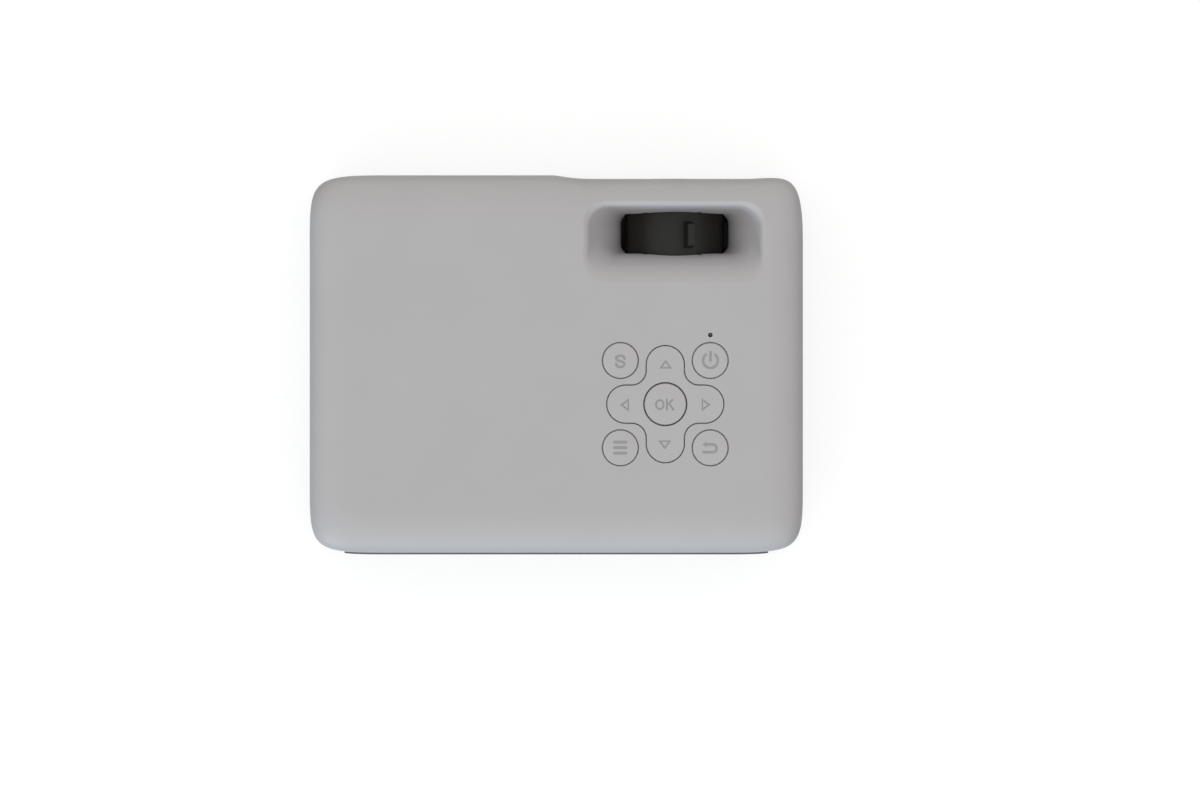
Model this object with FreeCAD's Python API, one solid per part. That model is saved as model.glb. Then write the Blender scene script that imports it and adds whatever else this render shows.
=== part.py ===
import FreeCAD, Part
import math
import os

from FreeCAD import Placement, Rotation, Vector

# Desktop projector with a built-in disc drive. Millimetres, +Z up. The lens looks along -Y, the disc
# tray comes out along +X, and the origin is the middle of the footprint at table height.

# ---------------------------------------------------------------- case
CASE_WIDTH = 250.0
CASE_DEPTH = 192.2        # front face to the outer face of the rear panel
CASE_TOP = 92.0           # table to the top face
FOOT_GAP = 4.0            # table to the underside of the base
WALL = 2.2
PARTING_Z = 20.0          # height at which the two shells meet
CROWN_IN = 24.0           # the top edge's round, measured inwards
CROWN_DOWN = 16.0         # the same round, measured downwards
KEEL_IN = 6.0             # the base edge's round
KEEL_UP = 9.0
ROUND_POWER = 2.8         # 2 is an ellipse, more is squarer
ROUND_STEPS = (0, 5, 15, 30, 45, 60, 75, 85, 90)
CORNER_REACH_X = 36.0     # how far a plan corner's curve runs along the front or rear
CORNER_REACH_Y = 30.0     # and along the side
CORNER_FULLNESS = 0.92    # 0 is a straight chamfer, 1 nearly a square corner
CORNER_TIGHTEN = 0.012    # share that the corner curves lose per mm of inset
LENS_CORNER_REACH_X = 16.3
LENS_CORNER_REACH_Y = 31.8
LENS_CORNER_FULLNESS = (0.70, 0.90)
SCOOP_DEPTH = 1.8         # the front steps back round the lens
SCOOP_START_X = 2.0
SCOOP_RAMP = 20.3
LIP_DEPTH = 1.3           # the lens side's corner stands this far behind the front
LIP_RUN = 13.7
TONGUE = 1.1              # locating tongue of the base inside the top shell
TONGUE_RISE = 3.0
FIT_GAP = 0.15

# ---------------------------------------------------------------- rear panel
PANEL_PROUD = 0.9
PANEL_FROM_SIDE = 17.5
PANEL_LOW_Z = 12.0
PANEL_HIGH_Z = 72.0
PANEL_CORNER = 3.0
PANEL_RIM = 3.5           # how far the panel's flange covers the opening's edge
PANEL_GAP = 0.3
PANEL_THICK = 2.0
PANEL_VENTS = 15
PANEL_VENT_FROM_END = 10.5
PANEL_VENT_Z = 52.0
PANEL_VENT_HEIGHT = 26.0

# ---------------------------------------------------------------- lens and focus ring
RING_RADIUS = 25.0
RING_BELOW_TOP = 14.0     # top face down to the ring's highest line
RING_FROM_FRONT = 16.1    # front face to the ring's front end
RING_LENGTH = 26.5
RING_BORE = 22.3
RING_CLEARANCE = 1.0      # round the ring, in the shell
GRIP_HEIGHT = 8.0         # the tab that a fingertip pushes
GRIP_WIDTH = 3.9
GRIP_LENGTH = 13.7
GRIP_TAPER = 1.3          # how much shorter the tab is at each end of its crest
GRIP_ROUND = 0.5
GRIP_FROM_MIDDLE = 0.8    # rearwards
GRIP_ANGLE = 15.3         # from straight up, towards -X
MOUNT_TUBE_RADIUS = 22.0
MOUNT_TUBE_BORE = 20.5
TUBE_NOSE = 4.0           # how far the fixed tube stands in front of the ring
TUBE_FLANGE = 52.0        # side of its square flange
BARREL_RADIUS = 20.2
BARREL_NOSE = 8.0         # and the barrel, at rest
BARREL_LENGTH = 46.0
CAM_PIN_RADIUS = 2.0
CAM_PIN_REACH = 23.6
CAM_LEAD = 28.8           # mm of barrel travel for one turn of the ring
FOCUS_MIN_DEG = -30.0
FOCUS_MAX_DEG = 65.0
CAM_STEP_DEG = 4.75
CAM_PINS_DEG = (60.0, 180.0, 300.0)
GLASS_FRONT = 17.8        # radii of the elements
GLASS_MIDDLE = 16.2
GLASS_REAR = 17.0
GLASS_SEAT = 7.0
BARREL_STOP = 13.5
BEZEL_BODY_RADIUS = 26.5
BEZEL_FLANGE_RADIUS = 27.7
BEZEL_THROAT = 22.5
BEZEL_DEPTH = 7.5

# ---------------------------------------------------------------- focus recess in the top
RECESS_HALF_WIDTH = 44.8
RECESS_FROM_RING = (-1.6, 37.1)   # front and rear edges, rearwards from the ring's front end
RECESS_CORNER = 11.0
RECESS_DEPTH = 35.0       # the side walls reach down beside the ring
RECESS_END_DEPTH = 26.0   # the front and rear walls stand upright from this depth on
RECESS_NECK_HALF_WIDTH = 27.4
RECESS_NECK_FROM_RING = (3.4, 23.5)
RECESS_NECK_CORNER = 5.0
RECESS_EDGE_ROUND = 2.0
RECESS_FRONT_DROP = 0.8   # the front lip lies this far below the top face
RECESS_SIDE_POWER = 1.25  # 1 is a straight wall, more bends it in sooner
RECESS_FRONT_POWER = 2.3
RECESS_REAR_POWER = 3.5
WINDOW_NOTCHES = (21.9, 14.9, -12.4)   # places of the small notches in its long edges, +X of the lens
NOTCH_WIDTH = 2.3
NOTCH_DEPTH = 0.5
NOTCH_HEIGHT = 1.6
RECESS_STEPS = (0.0, 0.12, 0.25, 0.4, 0.55, 0.75, 1.0)
LIP_STEPS = 8

# ---------------------------------------------------------------- keypad
KEYPAD_FROM_LENS = 4.8    # towards +X
KEYPAD_Y = 19.9
KEY_SPACING_X = 22.75
KEY_SPACING_Y = 22.1
KEY_RADIUS = 8.8
KEY_GAP = 0.65
KEY_TRAVEL = 0.6
KEY_FLANGE = 1.1          # how far a cap's flange reaches out from its side
KEY_FLANGE_THICK = 1.1
OK_RADIUS = 10.47
OK_GAP = 0.73
OK_FLANGE = 1.2
PAD_REACH = 29.35
PAD_ARM = 9.35
PAD_CREASE = 7.7
PAD_TILT_DEG = 1.0
PAD_ROOM = 0.17           # left above the pad's flange on the side that rises
SWITCH_SIDE = 4.5
SWITCH_HEIGHT = 1.8
PLUNGER_RADIUS = 1.3
PLUNGER_HEIGHT = 0.6
STEM_RADIUS = 1.7
KEY_BOARD_THICK = 1.2
KEY_BOARD_BELOW_TOP = 7.2 # top face down to the board's upper side
LIGHT_FROM_KEYPAD = (-22.8, -35.0)
LIGHT_RADIUS = 0.6
LIGHT_HOLE_RADIUS = 1.15
LIGHT_FLANGE = 1.3         # reaches out from the light pipe, under the shell

PIVOT_PIN = 0.6
PIVOT_CLEARANCE = 0.08
PIVOT_PIN_END = 12.9      # the pad's pins end this far from its centre
LUG_NEAR = 16.2
LUG_FAR = 17.8
GIMBAL_INNER = 12.4
GIMBAL_OUTER = 15.0
GIMBAL_THICK = 1.6

# ---------------------------------------------------------------- optical engine
ENGINE_FROM_RING = 44.0   # ring's front end to the engine's front
ENGINE_FROM_REAR = 34.1   # rear face to the engine's rear
ENGINE_DRIVE_GAP = 10.0
ENGINE_LOW_Z = 25.0
ENGINE_HIGH_Z = 81.0
ENGINE_WALL = 2.5
EAR_RADIUS = 4.0
PLATE_PLACES = ((18.0, 2.5), (36.0, 1.6), (48.0, 2.4), (66.0, 1.6))   # (from the rear, thickness)
PLATE_MARGIN = 0.4
LENS_APERTURE = 20.0
CONDENSER_RADIUS = 21.0
SINK_BASE = 5.0
SINK_FINS = 12
FIN_THICK = 1.2
SINK_FROM_REAR = 7.1      # rear face to the fins' ends
SINK_MARGIN = 6.0         # narrower than the engine, each side
LED_BOARD = 34.0
FAN_SIZE = 60.0
FAN_THICK = 15.0
FAN_FROM_ENGINE_REAR = 32.0
FAN_WALL_GAP = 2.0        # fan to the shell's side
FAN_Z = 51.0
FAN_BOSS = 2.5
FAN_BLADES = 7
FAN_STANDOFF = 1.8        # from the engine's wall
FAN_HOLES = 25.0
FAN_SCREW = 1.5
FAN_DUCT = 28.0
FAN_HUB = 12.5
FAN_SHAFT = 1.5
FAN_PITCH_DEG = 38.0

# ---------------------------------------------------------------- disc drive
DRIVE_Z = 44.0
DRIVE_HEIGHT = 16.0
DRIVE_HALF_WIDTH = 64.0
DRIVE_LENGTH = 127.5
SHEET = 0.8
BEZEL_THICK = 2.6
BEZEL_GAP = 0.35
TRAY_RIM_Z = 11.6         # above the drive's underside
TRAY_RECESS = 1.6
TRAY_PLATE = 1.6
DISC_RADIUS = 60.0
DISC_CLEARANCE = 0.8
SMALL_DISC_RADIUS = 40.0
SMALL_DISC_DROP = 0.6
SPINDLE_FROM_FRONT = 62.0
DRIVE_EAR_ENDS = (16.0, 25.5)     # from the drive's back, and from its front
DRIVE_EAR_REACH = 5.0
TRAY_HALF_WIDTH = 61.4
TRAY_WALL = 2.2
DECK_RISE = 2.4           # drive's underside to the top of the drawer's deck
RAIL_RISE = 3.4           # and to the slides' lower edge
RAIL_SHORTER = 9.5        # than the drive
RAIL_THICK = 1.2
RAIL_HEIGHT = 4.4
RAIL_TONGUE = 1.3
GROOVE_DEPTH = 1.3
GUIDE_REACH = 1.5
GUIDE_THICK = 0.9
EJECT_Y = 44.0
EJECT_WIDTH = 12.0
EJECT_HEIGHT = 3.6
SLED_ANGLE_DEG = -45.0
SLED_START = 24.0         # lens to spindle at rest
SLED_TRAVEL = 32.0
SLED_STOP_GAP = 0.6       # sled to the rods' far holders at full travel
ARM_STOP_GAP = 2.5
SLED_LENGTH = 18.0
SLED_WIDTH = 30.0
ACTUATOR = 7.0
ROD_RADIUS = 1.5
ROD_SPREAD = 12.5         # spindle line to each guide rod
ROD_START = 8.0
HOLDER = 2.4
SCREW_RADIUS = 1.4
SCREW_OFFSET = 18.5
SLED_MOTOR_START = -8.0
SLED_MOTOR_END = 5.0
SLED_MOTOR_RADIUS = 4.0
SLED_SHAFT = 0.7
SLOT_REACH = 61.0         # window in the drawer's floor for the pickup
SLOT_HALF_WIDTH = 13.0
MOTOR_RADIUS = 12.5
SPINDLE_SHAFT = 1.5
HUB_RADIUS = 7.4
TURNTABLE_RADIUS = 14.6

# ---------------------------------------------------------------- boards and sockets
BOARD_THICK = 1.6
MAIN_BOARD_WIDTH = 92.0
MAIN_BOARD_SIDE = 10.0    # the inlet's middle to the board's edge
MAIN_BOARD_FROM_REAR = 6.1
BOARD_GAP = 10.0          # between the two boards
HOLE_INSET = 4.0
SOCKET_ROOM = 20.0        # rear edge to the rear screws, clear of the sockets
MAIN_BOARD_Z = 18.0
POWER_BOARD_SIZE = (120.0, 60.0)
POWER_BOARD_FROM = (9.0, 34.1)    # from the +X side and from the front
POWER_BOARD_Z = 16.0
CHIP_SINK = (44.0, 22.0, 28.0)    # from the board's corner, and its side
HDMI_FROM_INLET = (68.0, 50.0)    # towards -X
HDMI_WIDTH = 15.0
HDMI_HEIGHT = 5.6
HDMI_DEPTH = 12.0
USB_FROM_INLET = (33.0, 17.5)
USB_WIDTH = 13.2
USB_HEIGHT = 6.4
USB_DEPTH = 14.0
JACK_FROM_INLET = (84.0, 96.0)
JACK_Z = 24.0
JACK_RADIUS = 1.8
JACK_DEPTH = 14.0
JACK_NOSE = 3.2
INLET_FROM_PANEL = 19.5   # panel's end to the inlet's middle
INLET_Z = 28.0
INLET_WIDTH = 18.0
INLET_HEIGHT = 12.0
INLET_DEPTH = 17.0
SOCKET_PROUD = 0.4        # sockets end this far behind the panel's face

# ---------------------------------------------------------------- base, feet and screws
SCREW_FROM_DRIVE_SIDE = 21.0
SCREW_FROM_LENS_SIDE = (17.0, 15.0)       # front and rear
SCREW_FROM_FRONT = (19.1, 20.1)           # drive side and lens side
SCREW_FROM_REAR = 16.1
SCREW_SHANK = 1.5
SCREW_HEAD = 3.0
SCREW_HEAD_HEIGHT = 2.2
PILOT_GAP = 0.05
CASE_SCREW_LENGTH = 26.0
SMALL_POST = 3.2
SMALL_SHANK = 1.0
SMALL_HEAD = 2.0
SMALL_HEAD_HEIGHT = 1.1
SMALL_LENGTH = 5.0
POST_RADIUS = 4.2
POST_SEAT_Z = 12.0        # where a case screw's head seats
FOOT_INSETS = (37.0, 32.1, 28.1)  # from a side, the front and the rear
FOOT_RADIUS = 8.0
FOOT_POCKET = 0.8
TRIPOD_Y = 4.0
TRIPOD_RADIUS = 3.175
TRIPOD_OUTER = 5.2
TRIPOD_LENGTH = 9.0
LEVEL_FOOT_X = 0.0
LEVEL_FROM_FRONT = 20.1
LEVEL_ENGAGED = 7.0       # thread still in its boss with the foot wound out
LEVEL_BOSS_RISE = 1.0     # boss above the screw's end
LEVEL_SCREW_RADIUS = 4.0
LEVEL_TRAVEL = 12.0
LEVEL_KNOB_RADIUS = 11.0
LEVEL_KNOB_HEIGHT = 2.6
LEVEL_PAD_HEIGHT = 1.2
LEVEL_CLEAR = 0.4         # table to the pad with the foot wound in

# ---------------------------------------------------------------- vents
VENT_WIDTH = 2.2
VENT_PITCH = 5.0
BASE_VENTS = 12
BASE_VENT_Y = 10.0
BASE_VENT_LENGTH = 70.0

# ---------------------------------------------------------------- speaker and remote window
SPEAKER_FROM_SIDE = 69.0
SPEAKER_Z = 47.0
SPEAKER_SIDE = 44.0
SPEAKER_FROM_FRONT = 4.8
SPEAKER_SLOTS = 8
IR_FROM_SPEAKER = 42.0    # towards the lens
IR_Z = 50.0
IR_WIDTH = 14.0
IR_HEIGHT = 8.0

# ---------------------------------------------------------------- worked out
REAR_Y = CASE_DEPTH / 2
FRONT_Y = -CASE_DEPTH / 2
SIDE_X = CASE_WIDTH / 2
SHELL_REAR_Y = REAR_Y - PANEL_PROUD
SCOOP_Y = FRONT_Y + SCOOP_DEPTH
CEILING_Z = CASE_TOP - WALL
FLOOR_Z = FOOT_GAP + WALL
CROWN_Z = CASE_TOP - CROWN_DOWN
KEEL_Z = FOOT_GAP + KEEL_UP
LENS_Z = CASE_TOP - RING_BELOW_TOP - RING_RADIUS

DRIVE_FRONT_X = SIDE_X - BEZEL_THICK - 0.9
DRIVE_BACK_X = DRIVE_FRONT_X - DRIVE_LENGTH
SPINDLE_X = DRIVE_FRONT_X - SPINDLE_FROM_FRONT
DRIVE_TOP_Z = DRIVE_Z + DRIVE_HEIGHT
TRAY_TOP_Z = DRIVE_Z + TRAY_RIM_Z
TRAY_FLOOR_Z = TRAY_TOP_Z - TRAY_RECESS
TRAY_UNDER_Z = TRAY_FLOOR_Z - TRAY_PLATE
DECK_TOP_Z = DRIVE_Z + DECK_RISE
RAIL_Z = DRIVE_Z + RAIL_RISE
RAIL_LENGTH = DRIVE_LENGTH - RAIL_SHORTER
EJECT_Z = DRIVE_Z + 7.0
ROD_Z = DECK_TOP_Z + 2.6
SLED_LOW_Z = DECK_TOP_Z + 0.5
SLED_TOP_Z = TRAY_UNDER_Z - 0.8
MOTOR_TOP_Z = DECK_TOP_Z + 3.8
DISC_SEAT_Z = TRAY_FLOOR_Z + 0.8
ROD_END = SLED_START + SLED_TRAVEL + SLED_LENGTH / 2 + SLED_STOP_GAP + HOLDER
SCREW_END = SLED_START + SLED_TRAVEL + 2.5 + ARM_STOP_GAP
DRIVE_EARS = [(x, side * (DRIVE_HALF_WIDTH + DRIVE_EAR_REACH)) for side in (-1, 1)
              for x in (DRIVE_BACK_X + DRIVE_EAR_ENDS[0], DRIVE_FRONT_X - DRIVE_EAR_ENDS[1])]

FAN_INNER_X = -SIDE_X + WALL + FAN_WALL_GAP + FAN_THICK
ENGINE_LEFT_X = FAN_INNER_X + FAN_STANDOFF
ENGINE_RIGHT_X = DRIVE_BACK_X - ENGINE_DRIVE_GAP
ENGINE_X = (ENGINE_LEFT_X + ENGINE_RIGHT_X) / 2
ENGINE_HALF_WIDTH = (ENGINE_RIGHT_X - ENGINE_LEFT_X) / 2
LENS_X = ENGINE_X
RING_FRONT_Y = FRONT_Y + RING_FROM_FRONT
RING_REAR_Y = RING_FRONT_Y + RING_LENGTH
TUBE_FRONT_Y = RING_FRONT_Y - TUBE_NOSE
BARREL_FRONT_Y = RING_FRONT_Y - BARREL_NOSE
BARREL_PIN_Y = RING_FRONT_Y + RING_LENGTH / 2
RECESS_FRONT_Y, RECESS_REAR_Y = (RING_FRONT_Y + away for away in RECESS_FROM_RING)
RECESS_NECK_FRONT_Y, RECESS_NECK_REAR_Y = (RING_FRONT_Y + away for away in RECESS_NECK_FROM_RING)
ENGINE_FRONT_Y = RING_FRONT_Y + ENGINE_FROM_RING
ENGINE_REAR_Y = REAR_Y - ENGINE_FROM_REAR
ENGINE_EARS = ((ENGINE_LEFT_X + 6.0, ENGINE_FRONT_Y - 5.0), (ENGINE_RIGHT_X - 6.0, ENGINE_FRONT_Y - 5.0),
               (ENGINE_LEFT_X + 2.0, ENGINE_REAR_Y + 4.0), (ENGINE_RIGHT_X - 1.5, ENGINE_REAR_Y + 4.0))
PLATES = [(ENGINE_REAR_Y - away, thick) for away, thick in PLATE_PLACES]    # condenser to front lens
SINK_REAR_Y = REAR_Y - SINK_FROM_REAR
SINK_HALF_WIDTH = ENGINE_HALF_WIDTH - SINK_MARGIN
FAN_Y = ENGINE_REAR_Y - FAN_FROM_ENGINE_REAR

KEYPAD_X = LENS_X + KEYPAD_FROM_LENS
LIGHT_X = KEYPAD_X + LIGHT_FROM_KEYPAD[0]
LIGHT_Y = KEYPAD_Y + LIGHT_FROM_KEYPAD[1]
KEY_BOARD_Z = CASE_TOP - KEY_BOARD_BELOW_TOP
PLUNGER_TOP_Z = KEY_BOARD_Z + SWITCH_HEIGHT + PLUNGER_HEIGHT
STEM_END_Z = PLUNGER_TOP_Z + KEY_TRAVEL + 0.05
PAD_STEM_END_Z = PLUNGER_TOP_Z + 0.45
PAD_FLANGE_DROP = (PAD_REACH + KEY_FLANGE) * math.sin(math.radians(PAD_TILT_DEG)) + PAD_ROOM
OK_SKIRT_Z = KEY_BOARD_Z + 2.1
OK_FLANGE_TOP_Z = KEY_BOARD_Z + 2.7
GIMBAL_Z = KEY_BOARD_Z + 1.6

PANEL_HALF_WIDTH = SIDE_X - PANEL_FROM_SIDE
PANEL_VENT_X = -PANEL_HALF_WIDTH + PANEL_VENT_FROM_END
INLET_X = PANEL_HALF_WIDTH - INLET_FROM_PANEL
HDMI_X = [INLET_X - away for away in HDMI_FROM_INLET]
USB_X = [INLET_X - away for away in USB_FROM_INLET]
JACK_X = [INLET_X - away for away in JACK_FROM_INLET]
SOCKET_Z = MAIN_BOARD_Z + BOARD_THICK
SPEAKER_X = SIDE_X - SPEAKER_FROM_SIDE
SPEAKER_FACE_Y = FRONT_Y + SPEAKER_FROM_FRONT
IR_X = SPEAKER_X - IR_FROM_SPEAKER

POWER_X1 = SIDE_X - POWER_BOARD_FROM[0]
POWER_Y0 = FRONT_Y + POWER_BOARD_FROM[1]
POWER_BOARD = (POWER_X1 - POWER_BOARD_SIZE[0], POWER_X1, POWER_Y0, POWER_Y0 + POWER_BOARD_SIZE[1])
MAIN_X1 = INLET_X - MAIN_BOARD_SIDE
MAIN_BOARD = (MAIN_X1 - MAIN_BOARD_WIDTH, MAIN_X1, POWER_BOARD[3] + BOARD_GAP, REAR_Y - MAIN_BOARD_FROM_REAR)

POST_MEET_Z = PARTING_Z + 2.0
CASE_SCREWS = ((SIDE_X - SCREW_FROM_DRIVE_SIDE, FRONT_Y + SCREW_FROM_FRONT[0]),
               (SIDE_X - SCREW_FROM_DRIVE_SIDE, REAR_Y - SCREW_FROM_REAR),
               (-SIDE_X + SCREW_FROM_LENS_SIDE[0], FRONT_Y + SCREW_FROM_FRONT[1]),
               (-SIDE_X + SCREW_FROM_LENS_SIDE[1], REAR_Y - SCREW_FROM_REAR))
FEET = [(side * (SIDE_X - FOOT_INSETS[0]), y) for side in (1, -1)
        for y in (FRONT_Y + FOOT_INSETS[1], REAR_Y - FOOT_INSETS[2])]
LEVEL_FOOT_Y = FRONT_Y + LEVEL_FROM_FRONT
LEVEL_SCREW_TOP_Z = FOOT_GAP + LEVEL_TRAVEL + LEVEL_ENGAGED
LEVEL_BOSS_Z = LEVEL_SCREW_TOP_Z + LEVEL_BOSS_RISE

UP = Vector(0, 0, 1)
FRONTWARD = Vector(0, -1, 0)
REARWARD = Vector(0, 1, 0)
ALONG_X = Vector(1, 0, 0)


# ================================================================ helpers
def board_holes(board, rear_inset):
    """The four screw places of a board (x0, x1, y0, y1)."""
    x0, x1, y0, y1 = board
    return [(x, y) for y in (y0 + HOLE_INSET, y1 - rear_inset) for x in (x0 + HOLE_INSET, x1 - HOLE_INSET)]


def block(x0, x1, y0, y1, z0, z1):
    return Part.makeBox(x1 - x0, y1 - y0, z1 - z0, Vector(x0, y0, z0))


def rod(radius, length, base, axis=UP):
    return Part.makeCylinder(radius, length, Vector(*base), axis)


def pipe(outer, bore, length, base, axis=UP):
    """A tube whose bore runs right through."""
    start = Vector(*base)
    return rod(outer, length, start, axis).cut(rod(bore, length + 2, start - axis, axis))


def fuse(shapes):
    shapes = list(shapes)
    return shapes[0].multiFuse(shapes[1:]) if len(shapes) > 1 else shapes[0]


def edge_line(x0, y0, x1, y1, z):
    return Part.makeLine(Vector(x0, y0, z), Vector(x1, y1, z))


def edge_curve(points, z):
    curve = Part.BezierCurve()
    curve.setPoles([Vector(x, y, z) for x, y in points])
    return curve.toShape()


def rounded_outline(x0, x1, y0, y1, radius, z):
    """A rectangle with round corners, as a closed wire at height z."""
    bulge = radius * (1 - math.sqrt(0.5))
    runs = [
        ((x0 + radius, y0), (x1 - radius, y0), (x1 - bulge, y0 + bulge), (x1, y0 + radius)),
        ((x1, y0 + radius), (x1, y1 - radius), (x1 - bulge, y1 - bulge), (x1 - radius, y1)),
        ((x1 - radius, y1), (x0 + radius, y1), (x0 + bulge, y1 - bulge), (x0, y1 - radius)),
        ((x0, y1 - radius), (x0, y0 + radius), (x0 + bulge, y0 + bulge), (x0 + radius, y0)),
    ]
    edges = []
    for start, end, middle, after in runs:
        edges.append(edge_line(*start, *end, z))
        edges.append(Part.Arc(Vector(*end, z), Vector(*middle, z), Vector(*after, z)).toShape())
    return Part.Wire(edges)


def rounded_block(x0, x1, y0, y1, radius, z0, z1):
    return Part.Face(rounded_outline(x0, x1, y0, y1, radius, z0)).extrude(Vector(0, 0, z1 - z0))


def rounded_plate(x0, x1, z0, z1, radius, y0, y1):
    """A round-cornered plate in the XZ plane, y0 to y1 thick."""
    flat = Part.Face(rounded_outline(x0, x1, z0, z1, radius, 0)).extrude(Vector(0, 0, y1 - y0))
    flat.Placement = Placement(Vector(0, y1, 0), Rotation(ALONG_X, 90))
    return flat


def turned(shape, angle, axis, centre):
    copy = shape.copy()
    copy.rotate(Vector(*centre), axis, angle)
    return copy


def lathe(profile, base, axis):
    """Turns a profile of (radius, distance along the axis) pairs about the axis through base."""
    points = [Vector(r, 0, h) for r, h in profile]
    solid = Part.Face(Part.makePolygon(points + points[:1])).revolve(Vector(), UP, 360)
    solid.Placement = Placement(Vector(*base), Rotation(UP, axis))
    return solid


def lens_solid(radius, edge, front_bulge, rear_bulge, base, axis):
    """A round lens: its edge is `edge` thick, and a negative bulge is a hollow face."""
    def arc(height, bulge):
        if bulge == 0:
            return Part.makeLine(Vector(0, 0, height), Vector(radius, 0, height))
        return Part.Arc(Vector(0, 0, height + bulge), Vector(radius * 0.55, 0, height + bulge * 0.72),
                        Vector(radius, 0, height)).toShape()
    rim = Part.makeLine(Vector(radius, 0, edge), Vector(radius, 0, 0))
    middle = Part.makeLine(Vector(0, 0, -rear_bulge), Vector(0, 0, edge + front_bulge))
    wire = Part.Wire(Part.__sortEdges__([arc(edge, front_bulge), rim, arc(0, -rear_bulge), middle]))
    solid = Part.Face(wire).revolve(Vector(), UP, 360)
    solid.Placement = Placement(Vector(*base), Rotation(UP, axis))
    return solid


def save(name, *solids):
    shape = solids[0] if len(solids) == 1 else Part.makeCompound(list(solids))
    for solid in shape.Solids:
        if not solid.isValid() or solid.Volume <= 0:
            print("check", name, "valid", solid.isValid(), "volume", solid.Volume)
    shape.exportStep(os.path.join("parts", name + ".step"))
    print(f"{name}: {len(shape.Solids)} solid(s), {shape.Volume / 1000:.2f} cm3")


# ================================================================ case form
def case_outline(inset, z, scoop_share):
    """The case's plan outline, `inset` inside its widest one. scoop_share fades the step round the lens."""
    right, left = SIDE_X - inset, -SIDE_X + inset
    front, rear = FRONT_Y + inset, SHELL_REAR_Y - inset
    scoop = front + SCOOP_DEPTH * scoop_share
    lip = front + LIP_DEPTH * scoop_share
    size = 1 - CORNER_TIGHTEN * inset
    reach_x, reach_y = CORNER_REACH_X * size, CORNER_REACH_Y * size
    short_x, short_y = reach_x * (1 - CORNER_FULLNESS), reach_y * (1 - CORNER_FULLNESS)
    lens_x, lens_y = LENS_CORNER_REACH_X * size, LENS_CORNER_REACH_Y * size
    lens_short_x = lens_x * (1 - LENS_CORNER_FULLNESS[0])
    lens_short_y = lens_y * (1 - LENS_CORNER_FULLNESS[1])
    lip_x = left + lens_x
    flat_x = lip_x + LIP_RUN
    ramp_x = SCOOP_START_X - SCOOP_RAMP
    return Part.Wire([
        edge_line(right, front + reach_y, right, rear - reach_y, z),
        edge_curve([(right, rear - reach_y), (right, rear - short_y),
                    (right - short_x, rear), (right - reach_x, rear)], z),
        edge_line(right - reach_x, rear, left + reach_x, rear, z),
        edge_curve([(left + reach_x, rear), (left + short_x, rear),
                    (left, rear - short_y), (left, rear - reach_y)], z),
        edge_line(left, rear - reach_y, left, lip + lens_y, z),
        edge_curve([(left, lip + lens_y), (left, lip + lens_short_y),
                    (left + lens_short_x, lip), (lip_x, lip)], z),
        edge_curve([(lip_x, lip), (lip_x + LIP_RUN / 2, lip),
                    (flat_x - LIP_RUN / 2, scoop), (flat_x, scoop)], z),
        edge_line(flat_x, scoop, ramp_x, scoop, z),
        edge_curve([(ramp_x, scoop), (ramp_x + SCOOP_RAMP * 0.6, scoop),
                    (SCOOP_START_X - SCOOP_RAMP * 0.2, front), (SCOOP_START_X, front)], z),
        edge_line(SCOOP_START_X, front, right - reach_x, front, z),
        edge_curve([(right - reach_x, front), (right - short_x, front),
                    (right, front + short_y), (right, front + reach_y)], z),
    ])


def round_profile(reach_in, reach_up):
    """(inset, rise, share of the scoop) along a superelliptic edge round."""
    steps = []
    for angle in ROUND_STEPS:
        cosine = max(0.0, math.cos(math.radians(angle)))
        sine = math.sin(math.radians(angle))
        steps.append((reach_in * (1 - cosine ** (2 / ROUND_POWER)),
                      reach_up * sine ** (2 / ROUND_POWER), cosine))
    return steps


def case_top_form(inset):
    """The upper case as one solid: straight sides up to the crown, then the rounded top edge."""
    wall = Part.Face(case_outline(inset, PARTING_Z, 1.0)).extrude(Vector(0, 0, CROWN_Z - PARTING_Z))
    rounds = round_profile(CROWN_IN - inset, CROWN_DOWN - inset)
    crown = Part.makeLoft([case_outline(inset + i, CROWN_Z + up, share) for i, up, share in rounds],
                          True, False)
    return wall.fuse(crown)


def case_base_form(inset):
    """The base tray as one solid, from its rounded lower edge up to the parting line."""
    wall = Part.Face(case_outline(inset, KEEL_Z, 1.0)).extrude(Vector(0, 0, PARTING_Z - KEEL_Z))
    rounds = round_profile(KEEL_IN - inset, KEEL_UP - inset)
    keel = Part.makeLoft([case_outline(inset + i, KEEL_Z - down, share) for i, down, share in rounds],
                         True, False)
    return wall.fuse(keel)


# ================================================================ keypad outlines
def pad_outline(grow, z):
    """The four-way pad's plan: a cross with round arm ends and rounded inner corners."""
    arm, reach, crease = PAD_ARM + grow, PAD_REACH + grow, PAD_CREASE - grow
    tip = reach - arm                       # centre of an arm's round end
    inner = arm + crease                    # centre of a rounded inner corner, along both axes
    bend = crease * math.sqrt(0.5)
    edges = []
    for quarter in range(4):
        turn = Rotation(UP, 90 * quarter)

        def place(x, y):
            return turn.multVec(Vector(x, y, 0)) + Vector(KEYPAD_X, KEYPAD_Y, z)
        edges.append(Part.Arc(place(tip, -arm), place(reach, 0), place(tip, arm)).toShape())
        edges.append(Part.makeLine(place(tip, arm), place(inner, arm)))
        edges.append(Part.Arc(place(inner, arm), place(inner - bend, inner - bend),
                              place(arm, inner)).toShape())
        edges.append(Part.makeLine(place(arm, inner), place(arm, tip)))
    return Part.Wire(edges)


def pad_prism(grow, z0, z1):
    return Part.Face(pad_outline(grow, z0)).extrude(Vector(0, 0, z1 - z0))


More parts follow.
